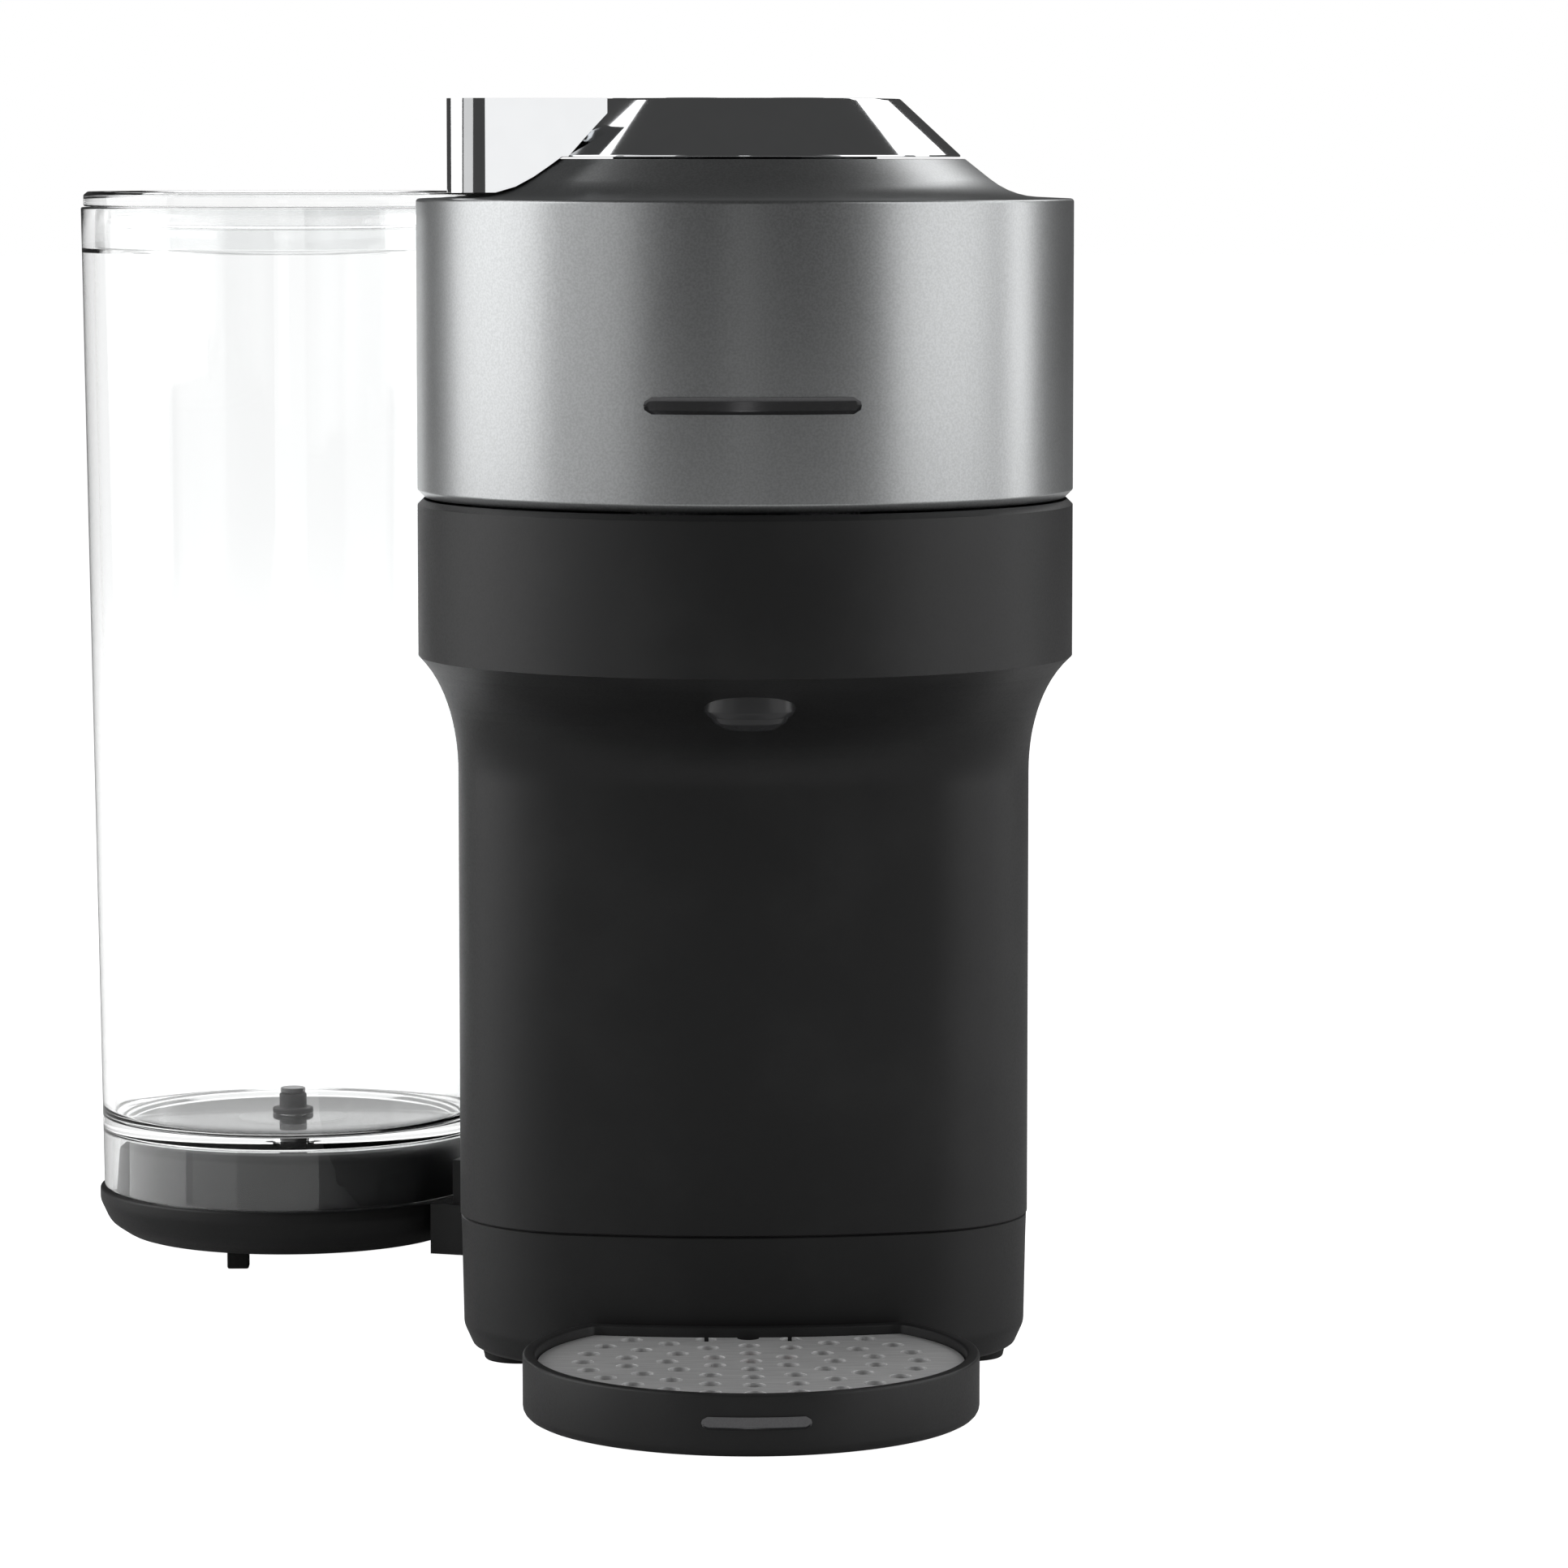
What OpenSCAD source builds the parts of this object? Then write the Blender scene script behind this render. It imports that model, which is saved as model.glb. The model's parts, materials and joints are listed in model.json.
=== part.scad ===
// Pod coffee machine: a drum head on a slim column, a round drip tray, and a clear tank on a swinging arm.
// The design is drawn with the head's upright axis at x = 0, y = 0, the counter at z = 0 and the front at -Y,
// and each node is then moved so that the origin is under the middle of the whole machine.

/* [Head] */
// Radius of the silver head shell and of the black ring under it
head_r = 68.5; // [68:0.5:69]
// Height of the head shell's lower edge above the counter
head_z0 = 185.3; // [185.2:0.1:185.6]
// Height of the head's top deck, where the shoulder starts
deck_z = 247.2; // [246.8:0.1:247.3]
// Wall thickness of the head shell
head_wall = 2.2; // [2:0.1:2.4]
// Lower radius of the chrome cap
cap_r = 44.8; // [44.4:0.2:45.2]
// Upper radius of the chrome cap
cap_top_r = 32.2; // [32:0.1:32.6]
// Height of the cap's lower rim
cap_z0 = 255.8; // [255.7:0.1:256]
// Height of the cap's top
cap_z1 = 267.8; // [267.6:0.1:268.2]

/* [Lever] */
// Distance from the head's axis to the lever's outer end
lever_reach = 61.6; // [60:0.2:62]
// Width of the lever blade
lever_w = 52; // [48:1:54]
// Radius of the lever's upright corners
lever_corner = 8; // [6:0.5:9]

/* [Column] */
// Half width of the column between its front corners
column_half_w = 60.6; // [60.2:0.2:61]
// Radius of the column's front corners
corner_r = 30.4; // [29:0.2:31]
// Distance from the head's axis forward to the column's front face
column_front = 19; // [18.6:0.2:19.4]
// Radius of the gently curved front face
front_face_r = 140; // [130:5:160]
// Radius of the column's rounded back
rear_r = 58; // [57.6:0.2:58.2]
// Distance from the head's axis back to the centre of the rounded back
rear_y = 120; // [119:0.5:121]
// Wall thickness of the column
column_wall = 2.5; // [2.3:0.1:2.7]
// Height of the seam between the base and the column
seam_z = 31.4; // [31:0.1:31.8]
// Height at which the neck starts to flare out
neck_z = 126; // [125:0.5:127]
// Radius of the neck's hollow flare
neck_r = 40; // [39:0.5:41]
// Height of the underside of the black ring
ring_z0 = 152.2; // [152:0.1:152.4]
// Height of the top of the black ring
ring_z1 = 184.9; // [184.7:0.1:184.9]

/* [Outlet] */
// Distance from the head's axis forward to the coffee outlet
outlet_y = 40; // [39:0.5:41]
// Radius of the coffee outlet
outlet_r = 9.4; // [9:0.1:9.8]

/* [Tray] */
// Radius of the drip tray
tray_r = 46.7; // [46.5:0.1:46.9]
// Distance from the head's axis forward to the tray's centre
tray_y = 48.8; // [48.6:0.1:49]
// Height of the tray's rim
tray_z1 = 12.9; // [12.7:0.1:13.1]
// Wall thickness of the tray's rim
tray_rim = 2.6; // [2.4:0.1:2.8]

/* [Tank] */
// Radius of the tank at its lid
tank_r = 47.5; // [47:0.1:47.6]
// Radius of the tank at its foot
tank_foot_r = 44.3; // [44.2:0.1:44.4]
// Height of the tank's lower edge
tank_z0 = 15.6; // [15.5:0.1:15.8]
// Height of the top of the tank's wall, under the lid
tank_z1 = 244.2; // [240:0.5:246]
// Height of the tank's floor
tank_floor_z = 32; // [31.8:0.1:32.4]
// Wall thickness of the tank
tank_wall = 2.6; // [2.4:0.1:2.8]
// Length of the arm from its pivot to the tank's centre
arm_length = 109.4; // [109.2:0.2:112]
// Angle from straight back to the arm's resting place on the left
arm_angle = 70.2; // [69:0.2:71]

/* [Feet] */
// Height of the rubber feet
foot_h = 2.7; // [2.6:0.1:2.8]
// Radius of the rubber feet
foot_r = 8; // [7:0.5:8.5]

/* [Hidden] */
$fn = 96;
eps = 0.01;          // overlap that lets a cut run past a face
hair = 0.04;         // inset of a tangent line from the arcs that it joins
run_gap = 0.06;      // radial clearance of a running fit
gap = 0.4;           // clearance between bodies that only pass each other
face_gap = 0.1;      // clearance between stacked faces on different bodies

// tank
tank_x = -arm_length * sin(arm_angle);
tank_y = rear_y + arm_length * cos(arm_angle);
dish_r = 45.3;
dish_z0 = 4.4;
dish_z1 = 15.4;
plinth_z1 = 28;
plinth_r = 41;
skirt_wall = 2.2;
dock_r = 12;
rim_z = tank_z1 - 9.5;
lid_top_z = tank_z1 + 3.6;
lid_t = 3.4;
valve_flange_r = 4.75;
valve_r = 3.2;
valve_bore_r = 2.2;
valve_top_z = 36.5;
valve_stem_z = 22;
poppet_r = 1.2;
poppet_head_r = 2.9;
spring_turns = 4;
spring_wire = 0.35;
button_coil_r = 2.6;
button_coil_pitch = 0.95;

// arm and its turntable under the back of the base
table_r = 57.4;
table_z0 = 3.8;
table_z1 = 25.4;
table_web = 5;
pocket_z = 26.2;
post_r = 14;
pivot_disc_r = 34;
pivot_disc_z = 1.2;
beam_w = 40;
ledge_z = 15.4;

// the shoulder's outline between the cap and the deck, as radius and height
shoulder = [[cap_r + 1, cap_z0 - 0.4], [48.1, cap_z0 - 2.4], [50.7, cap_z0 - 4.5], [53.9, cap_z0 - 6.5],
    [57.5, cap_z0 - 7.7], [63, cap_z0 - 8.3]];

// lever
lever_z0 = cap_z0 - 7.4;
lever_root_r = 38.7;
lever_root_z = cap_z1 - 3.1;
lever_neck_w = 26;
lever_gap = 0.5;

// control post, buttons and piston
sleeve_r = 27.5;
sleeve_bore_r = 24.5;
sleeve_z0 = cap_z0 - 14.4;
cap_web_z = cap_z0 + 2.6;
post_outer_r = 22;
post_inner_r = 19.7;
disc_r = 29;
disc_t = 6.2;
disc_seat_z = cap_z1 - 6.8;
disc_pocket_z = cap_z1 - 5;
button_r = 6;
button_x = 11;
button_proud = 0.3;
lens_x = 26;
lens_r = 1.6;
piston_r = 19.4;
piston_z0 = head_z0 + 1.1;
piston_z1 = piston_z0 + 29;
spray_r = 16;
spray_t = 1;

// brew unit
chamber_r = 24;
chamber_z0 = ring_z0 + 2.5;
chamber_z1 = ring_z1 - 1.1;
seat_r = 15.2;
seat_z0 = chamber_z0 + 3.7;
seal_z1 = chamber_z1 + 1;
duct_r = 5;
outlet_z0 = ring_z0 - 9.8;
spout_r = 3;
duct_z = chamber_z0 + 7.1;
brew_deck_z0 = ring_z1 - 7.5;
brew_deck_z1 = brew_deck_z0 + 3;
floor_t = 2.5;

// hinge of the head
hinge_y = 80;
hinge_z = head_z0 + 12.1;
hinge_r = 5.4;
pin_r = 2.5;
ear_x = 26;
ear_w = 7;
knuckle_x = 17;
knuckle_w = 8;
rear_top_z = ring_z1 - 1;
rear_deck_z1 = rear_top_z + 7.5;

// used-capsule bin
bin_y0 = 22;
bin_y1 = 80;
bin_z0 = seam_z + 3.6;
bin_z1 = seam_z + 68;
bin_x0 = -38;
bin_wall = 2;
chute_y = 44;
chute_r = 17.5;
chute_wall = 1.5;
chute_z0 = bin_z1 + 3;

// chassis and its fittings
chassis_t = 3;
chassis_y = 88;
chassis_x = 50;
chassis_z1 = brew_deck_z0 - 4;
pump_x = -26;
pump_y = 126;
pump_r = 19;
pump_z0 = 44;
pump_z1 = 112;
heater_x = 26;
heater_y = 129;
heater_w = 40;
heater_d = 34;
heater_z0 = 74;
heater_z1 = 140;
meter_x = 26;
meter_y = 128;
meter_r = 14;
meter_z0 = seam_z + chassis_t + 3;
meter_z1 = 56;
hose_r = 3;
elbow_r = 3.6;
pipe_r = 2.5;
board_w = 84;
board_z0 = 144;
board_z1 = 168;
board_t = 1.6;
standoff_r = 2.2;
standoff_h = 5;

// mains fittings on the right side
side_x = 58.6;
inlet_y = 112;
inlet_z = 46;
inlet_r = 6;
cord_bore_r = 3.6;
switch_y = 104;
switch_z = 72;
switch_w = 15;
switch_h = 22;
rocker_w = 11;
rocker_h = 17;
rocker_angle = 12;

// drip tray
tray_z0 = 0.2;
tray_step_z = 1.6;
tray_step_in = 0.5;
tray_floor_z = 2.8;
tray_ledge = 1.6;
tray_gap = 0.6;
ledge_top_z = 9.4;
tongue_x = 25;
tongue_w = 10;
grid_t = 1.4;
grid_pitch = 8.6;
grid_hole_r = 2.3;
float_r = 7;
float_stem_r = 1.9;

// badges
badge_w = 44;
badge_h = 8.4;
badge_z = head_z0 + 21.3;
badge_t = 0.5;
tray_badge_t = 0.4;
tray_badge_z = 7.2;
tray_badge_w = 22;
tray_badge_h = 5;

// the origin of the whole machine, under the middle of its box
x_low = tank_x - tank_r;
x_high = head_r;
y_low = -(tray_y + tray_r + tray_badge_t);
y_high = tank_y + tank_r;
shift = [-(x_low + x_high) / 2, -(y_low + y_high) / 2, 0];

// geometry of the column's outline: front corners, side tangents and the front face's arc
corner_x = column_half_w - corner_r;
face_y = front_face_r - column_front;
corner_y = face_y - sqrt(pow(front_face_r - corner_r, 2) - corner_x * corner_x);
side_length = sqrt(corner_x * corner_x + pow(rear_y - corner_y, 2));
side_angle = atan2(rear_y - corner_y, -corner_x) - acos((corner_r - rear_r) / side_length);
face_angle = atan2(corner_x, face_y - corner_y);

// ---------- shared shapes ----------

module place() {
    translate(shift) children();
}

module at_tank() {
    translate([tank_x, tank_y, 0]) children();
}

// a cylinder between two heights
module disc(r, z0, z1) {
    translate([0, 0, z0]) cylinder(r = r, h = z1 - z0);
}

// a cone between two heights
module cone(r0, r1, z0, z1) {
    translate([0, 0, z0]) cylinder(r1 = r0, r2 = r1, h = z1 - z0);
}

// a tube between two heights
module tube(r_out, r_in, z0, z1) {
    difference() {
        disc(r_out, z0, z1);
        disc(r_in, z0 - 1, z1 + 1);
    }
}

// a box from one corner to the opposite one
module block(low, high) {
    translate(low) cube(high - low);
}

// a rod from a point along X, Y or Z
module rod_x(r, length) {
    rotate([0, 90, 0]) cylinder(r = r, h = length);
}

module rod_y(r, length) {
    rotate([-90, 0, 0]) cylinder(r = r, h = length);
}

// the column's outline in plan, grown outwards by a distance; the flat sides and the front face lie a hair
// inside their tangents, so that they cross the round corners cleanly
module column_plan(grow = 0) {
    side = [cos(side_angle), sin(side_angle)];
    corner_side = [corner_x, corner_y] + (corner_r + grow - hair) * side;
    rear_side = [0, rear_y] + (rear_r + grow - hair) * side;
    reach = 1.5 * front_face_r;
    translate([0, rear_y]) circle(r = rear_r + grow);
    for (s = [-1, 1])
        translate([s * corner_x, corner_y]) circle(r = corner_r + grow);
    polygon([corner_side, rear_side, [-rear_side.x, rear_side.y],
        [-corner_side.x, corner_side.y], [-corner_x, corner_y], [corner_x, corner_y]]);
    intersection() {
        translate([0, face_y]) circle(r = front_face_r + grow - hair);
        polygon([[0, face_y], [reach * sin(face_angle), face_y - reach * cos(face_angle)],
            [-reach * sin(face_angle), face_y - reach * cos(face_angle)]]);
    }
}

module column_solid(grow, z0, z1) {
    translate([0, 0, z0]) linear_extrude(height = z1 - z0) column_plan(grow);
}

// how far the neck's flare stands out at a height
function flare(z) = neck_r - sqrt(neck_r * neck_r - pow(z - neck_z, 2));

// ---------- base ----------

module base_outer() {
    slice = 0.5;
    // how far the base stands in from the column, and at what height
    steps = [[-0.2, seam_z - slice], [-1, 10], [-1.6, 6], [-4.5, foot_h]];
    hull() {
        for (s = steps)
            translate([0, 0, s[1]])
                linear_extrude(height = slice) column_plan(s[0], $fn = 48);
    }
}

module base_shell() {
    color([0.05, 0.05, 0.055])
    difference() {
        base_outer();
        column_solid(-4.8, 0, seam_z - 3.8);
        // room for the turntable and for the arm's swing
        translate([0, rear_y, 0]) disc(table_r + 1, 0, pocket_z);
        block([-80, rear_y - 16, 0], [80, rear_y + 80, pocket_z]);
        // slots for the tray's tongues
        for (s = [-1, 1])
            block([s * tongue_x - tongue_w / 2 - 1, -30, 4.6], [s * tongue_x + tongue_w / 2 + 1, 0, 9.4]);
        // way through for the water from the arm to the flow meter
        translate([0, rear_y, 0]) disc(5, 0, seam_z + 1);
    }
}

module base_plate() {
    color([0.12, 0.12, 0.12])
    difference() {
        column_solid(-5, foot_h, foot_h + 1.8);
        translate([0, rear_y, 0]) disc(table_r + 1, 0, 20);
        block([-80, rear_y - 60, 0], [80, rear_y + 80, 20]);
    }
}

module base_screws() {
    color([0.6, 0.6, 0.62])
    for (x = [-28, 0, 28], y = [8, 44]) {
        translate([x, y, 0]) disc(3, foot_h - 1.2, foot_h);
        translate([x, y, 0]) disc(1.4, foot_h + 1.8, foot_h + 8);
    }
}

module feet() {
    color([0.1, 0.1, 0.1])
    for (x = [-48, 48], y = [14, 50])
        translate([x, y, 0]) cone(foot_r - 0.6, foot_r, 0, foot_h);
    color([0.1, 0.1, 0.1])
    translate([0, rear_y, 0]) tube(pivot_disc_r - 2, pivot_disc_r - 12, 0, pivot_disc_z);
}

module pivot_post() {
    color([0.3, 0.3, 0.31])
    translate([0, rear_y, 0])
    difference() {
        union() {
            disc(post_r, pivot_disc_z + 2, pocket_z);
            disc(pivot_disc_r, pivot_disc_z, pivot_disc_z + 2.2);
        }
        disc(5, pivot_disc_z + 6, seam_z);
    }
}

// ---------- column and ring ----------

module neck_solid() {
    steps = [0, 10, 18, ring_z0 - neck_z];
    // the lowest ring starts inside the column, so that the flare leaves its face at an angle
    intersection() {
        union() {
            for (i = [0:len(steps) - 2])
                hull() {
                    for (h = [steps[i], steps[i + 1]])
                        translate([0, 0, neck_z + h - (h > 0 ? 0.1 : 0)])
                            linear_extrude(height = 0.1)
                                column_plan(h > 0 ? flare(neck_z + h) : -1.5, $fn = 48);
                }
        }
        disc(head_r, neck_z, ring_z0);
    }
}

module main_housing() {
    color([0.04, 0.04, 0.045])
    difference() {
        union() {
            column_solid(0, seam_z, rear_top_z);
            neck_solid();
            disc(head_r, ring_z0, ring_z1 - 1.2);
            cone(head_r, head_r - 1.2, ring_z1 - 1.2, ring_z1);
        }
        column_solid(-column_wall, seam_z - 1, ring_z0 + floor_t);
        disc(head_r - column_wall, ring_z0 + floor_t, ring_z1 + 1);
        column_solid(-column_wall, ring_z0, ring_z1 + 1);
        // outlet
        translate([0, -outlet_y, 0]) disc(duct_r, ring_z0 - 1, ring_z0 + floor_t + 1);
        // opening for the used-capsule bin
        block([30, bin_y0 - gap, bin_z0 - gap], [80, bin_y1 + gap, bin_z1 + gap]);
        // mains fittings
        translate([40, inlet_y, inlet_z]) rod_x(inlet_r, 40);
        block([40, switch_y - switch_w / 2, switch_z - switch_h / 2],
            [80, switch_y + switch_w / 2, switch_z + switch_h / 2]);
        // vent slots in the back
        for (z = [132:7:167])
            block([-24, rear_y + 30, z], [24, rear_y + 70, z + 2.4]);
    }
}

module rear_deck() {
    color([0.05, 0.05, 0.055])
    difference() {
        union() {
            difference() {
                union() {
                    column_solid(0, rear_top_z, rear_deck_z1 - 2);
                    column_solid(-1.5, rear_deck_z1 - 2, rear_deck_z1);
                }
                disc(head_r + 0.8, rear_top_z - 1, rear_deck_z1 + 1);
                block([-80, -80, rear_top_z - 1], [80, 40, rear_deck_z1 + 1]);
            }
            for (s = [-1, 1]) {
                translate([s * ear_x - ear_w / 2, hinge_y, hinge_z]) rod_x(hinge_r, ear_w);
                block([s * ear_x - ear_w / 2, hinge_y - hinge_r, rear_deck_z1 - 1],
                    [s * ear_x + ear_w / 2, hinge_y + hinge_r, hinge_z]);
            }
        }
        translate([-40, hinge_y, hinge_z]) rod_x(pin_r, 80);
        column_solid(-6, rear_top_z - 1, rear_deck_z1 - 3);
    }
}

module hinge_pins() {
    color([0.7, 0.7, 0.72])
    for (s = [-1, 1])
        translate([s * (knuckle_x + ear_x) / 2 - 9, hinge_y, hinge_z]) rod_x(pin_r, 18);
}

module chassis() {
    color([0.55, 0.56, 0.58])
    difference() {
        union() {
            intersection() {
                block([-chassis_x, 0, seam_z + eps], [chassis_x, rear_y + 46, seam_z + chassis_t]);
                column_solid(-column_wall - 1, seam_z, seam_z + chassis_t);
            }
            block([-chassis_x, chassis_y, seam_z + 1], [chassis_x, chassis_y + chassis_t, chassis_z1]);
        }
        // ways through for the brew pipe and the feed hose
        translate([heater_x, chassis_y - 1, duct_z + 4]) rod_y(hose_r + 1, chassis_t + 2);
        translate([0, rear_y, 0]) disc(5, 0, seam_z + chassis_t + 1);
    }
}

// ---------- brew unit ----------

module brew_deck() {
    color([0.07, 0.07, 0.075])
    difference() {
        disc(head_r - column_wall - 0.1, brew_deck_z0, brew_deck_z1);
        disc(chamber_r, brew_deck_z0 - 1, brew_deck_z1 + 1);
        translate([0, chute_y, 0]) disc(chute_r, brew_deck_z0 - 1, brew_deck_z1 + 1);
    }
}

module brew_chamber() {
    color([0.6, 0.6, 0.62])
    difference() {
        union() {
            disc(chamber_r, chamber_z0, chamber_z1);
            translate([0, -outlet_y, duct_z]) rod_y(duct_r + 2, outlet_y);
            translate([0, -outlet_y, 0]) disc(duct_r + 2, chamber_z0, duct_z + duct_r + 2);
        }
        disc(seat_r, seat_z0, chamber_z1 + 1);
        translate([0, -outlet_y, duct_z - 1]) rod_y(1.5, outlet_y);
        translate([0, -outlet_y, 0]) disc(1.5, chamber_z0 - 1, duct_z);
        translate([0, 0, 0]) disc(1.5, duct_z - 4, seat_z0 + 1);
    }
}

module brew_seal() {
    color([0.75, 0.3, 0.2])
    tube(19.6, seat_r + 1, chamber_z1, seal_z1);
}

module coffee_outlet() {
    color([0.35, 0.35, 0.36])
    translate([0, -outlet_y, 0])
    difference() {
        union() {
            disc(outlet_r, outlet_z0 + 1, ring_z0);
            cone(outlet_r - 0.9, outlet_r, outlet_z0, outlet_z0 + 1);
        }
        disc(spout_r, outlet_z0 - 1, ring_z0 + 1);
    }
}

module outlet_tip() {
    color([0.1, 0.1, 0.1])
    translate([0, -outlet_y, 0])
    difference() {
        union() {
            cone(5.4, 7.2, outlet_z0 - 2.6, outlet_z0 - 1.4);
            cone(7.2, 8, outlet_z0 - 1.4, outlet_z0);
            disc(spout_r - 0.1, outlet_z0 - 1, outlet_z0 + 5);
        }
        disc(1.6, outlet_z0 - 4, outlet_z0 + 6);
    }
}

module capsule_chute() {
    color([0.1, 0.1, 0.105])
    translate([0, chute_y, 0])
        tube(chute_r + chute_wall, chute_r, chute_z0, brew_deck_z0);
}

// ---------- works inside the column ----------

module pump() {
    color([0.35, 0.35, 0.38])
    translate([pump_x, pump_y, 0])
    union() {
        disc(pump_r - 5, pump_z0, pump_z0 + 8);
        disc(pump_r, pump_z0 + 8, pump_z1 - 12);
        disc(pump_r - 7, pump_z1 - 12, pump_z1);
        disc(hose_r, pump_z1, pump_z1 + 6);
    }
}

module pump_mounts() {
    color([0.15, 0.15, 0.15])
    translate([pump_x, pump_y, 0])
    tube(pump_r - 2, 6, seam_z + chassis_t, pump_z0);
}

module flow_meter() {
    color([0.85, 0.85, 0.82])
    translate([meter_x, meter_y, 0])
    union() {
        disc(meter_r, meter_z0, meter_z1);
        for (s = [-1, 1])
            translate([0, s * 9, 0]) disc(2, seam_z + chassis_t, meter_z0 + 1);
    }
}

module heater() {
    color([0.75, 0.75, 0.77])
    union() {
        block([heater_x - heater_w / 2, heater_y - heater_d / 2, heater_z0],
            [heater_x + heater_w / 2, heater_y + heater_d / 2, heater_z1]);
        // bracket back to the chassis
        block([heater_x - 6, chassis_y + chassis_t, heater_z0 + 20],
            [heater_x + 6, heater_y - heater_d / 2 + 1, heater_z0 + 26]);
    }
}

module control_board() {
    y = chassis_y + chassis_t + standoff_h;
    color([0.1, 0.35, 0.15])
    union() {
        difference() {
            block([-board_w / 2, y, board_z0], [board_w / 2, y + board_t, board_z1]);
            // way through for the brew pipe
            translate([heater_x, y - 1, duct_z + 4]) rod_y(elbow_r, board_t + 2);
        }
        for (x = [-36, 36], z = [board_z0 + 4, board_z1 - 4])
            translate([x, chassis_y + chassis_t, z]) rod_y(standoff_r, standoff_h + eps);
    }
}

// water from the pivot post to the flow meter
module feed_hose() {
    color([0.8, 0.8, 0.78])
    union() {
        // up out of the post and across to the flow meter
        translate([0, rear_y, 0]) disc(hose_r, pivot_disc_z + 8, 41);
        translate([0, rear_y, 41]) sphere(r = elbow_r);
        translate([0, rear_y, 41]) rotate([0, 0, atan2(meter_y - rear_y, meter_x)])
            rod_x(hose_r, norm([meter_x, meter_y - rear_y]) - meter_r + eps);
    }
}

module pump_hose() {
    z = meter_z1 + 6;
    color([0.8, 0.8, 0.78])
    union() {
        translate([meter_x, meter_y, 0]) disc(hose_r, meter_z1, z);
        translate([meter_x, meter_y, z]) sphere(r = elbow_r);
        translate([pump_x + pump_r - 0.3, meter_y, z]) rod_x(hose_r, meter_x - pump_x - pump_r + 0.3);
    }
}

module pressure_pipe() {
    top = pump_z1 + 12;
    color([0.85, 0.85, 0.8])
    union() {
        translate([pump_x, pump_y, 0]) disc(pipe_r, pump_z1 + 6, top);
        translate([pump_x, pump_y, top]) sphere(r = elbow_r);
        translate([pump_x, pump_y, top])
            rod_x(pipe_r, heater_x - heater_w / 2 - pump_x);
    }
}

module brew_pipe() {
    z = duct_z + 4;
    color([0.85, 0.85, 0.8])
    union() {
        translate([heater_x, heater_y - 6, 0]) disc(pipe_r, heater_z1, z);
        translate([heater_x, heater_y - 6, z]) sphere(r = elbow_r);
        translate([heater_x, 26, z]) rod_y(pipe_r, heater_y - 6 - 26);
        translate([heater_x, 26, z]) sphere(r = elbow_r);
        translate([heater_x, 26, z])
            rotate([0, 0, 180 + atan2(26, heater_x)])
            rod_x(pipe_r, norm([heater_x, 26]) - chamber_r + 0.2);
    }
}

module mains_inlet() {
    color([0.08, 0.08, 0.08])
    difference() {
        union() {
            translate([side_x - 12, inlet_y, inlet_z]) rod_x(inlet_r, 14);
            translate([side_x, inlet_y, inlet_z]) rod_x(inlet_r + 2, 2.4);
        }
        translate([side_x - 13, inlet_y, inlet_z]) rod_x(cord_bore_r, 20);
    }
}

module switch_frame() {
    color([0.1, 0.1, 0.1])
    difference() {
        union() {
            block([side_x - 14, switch_y - switch_w / 2, switch_z - switch_h / 2],
                [side_x + 1, switch_y + switch_w / 2, switch_z + switch_h / 2]);
            block([side_x, switch_y - switch_w / 2 - 1.5, switch_z - switch_h / 2 - 1.5],
                [side_x + 1.4, switch_y + switch_w / 2 + 1.5, switch_z + switch_h / 2 + 1.5]);
        }
        block([side_x - 9, switch_y - rocker_w / 2 - gap, switch_z - rocker_h / 2 - gap],
            [side_x + 5, switch_y + rocker_w / 2 + gap, switch_z + rocker_h / 2 + gap]);
        translate([side_x - 2, switch_y - switch_w / 2 + 0.6, switch_z])
            rod_y(1 + run_gap, switch_w - 1.2);
    }
}

// the rocker turns about its own cross pin, and stands in its "off" tilt
module switch_rocker() {
    color([0.15, 0.15, 0.15])
    translate([side_x - 2, switch_y, switch_z])
    union() {
        translate([0, -switch_w / 2 + 0.8, 0]) rod_y(1, switch_w - 1.6);
        rotate([0, -rocker_angle / 2, 0])
        intersection() {
            block([-5.5, -rocker_w / 2, -rocker_h / 2], [4.6, rocker_w / 2, rocker_h / 2]);
            translate([-3, rocker_w, 0]) rotate([90, 0, 0]) cylinder(r = rocker_h / 2 - 0.3, h = 2 * rocker_w);
        }
    }
}

// ---------- head ----------

module head_shell() {
    inner = [for (p = shoulder) [p[0] - 1.2, p[1] - head_wall]];
    color([0.72, 0.73, 0.75])
    difference() {
        union() {
            rotate_extrude()
                polygon(concat([[head_r - 1.6, head_z0], [head_r, head_z0 + 1.6], [head_r, deck_z - 0.6],
                    [head_r - 0.6, deck_z]],
                    [for (i = [len(shoulder) - 1:-1:0]) shoulder[i]],
                    [[sleeve_r + run_gap, shoulder[0][1]], [sleeve_r + run_gap, shoulder[0][1] - 4]],
                    inner,
                    [[head_r - head_wall, deck_z - head_wall], [head_r - head_wall, head_z0]]));
            for (s = [-1, 1]) {
                translate([s * knuckle_x - knuckle_w / 2, hinge_y, hinge_z]) rod_x(hinge_r, knuckle_w);
                block([s * knuckle_x - knuckle_w / 2, head_r - 5, hinge_z - hinge_r],
                    [s * knuckle_x + knuckle_w / 2, hinge_y, hinge_z + hinge_r]);
            }
        }
        for (s = [-1, 1])
            translate([s * knuckle_x - knuckle_w, hinge_y, hinge_z]) rod_x(pin_r + run_gap, 2 * knuckle_w);
    }
}

module head_floor() {
    color([0.07, 0.07, 0.075])
    difference() {
        disc(head_r - head_wall, head_z0 + 1, head_z0 + 4);
        disc(post_outer_r, head_z0, head_z0 + 5);
    }
}

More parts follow.
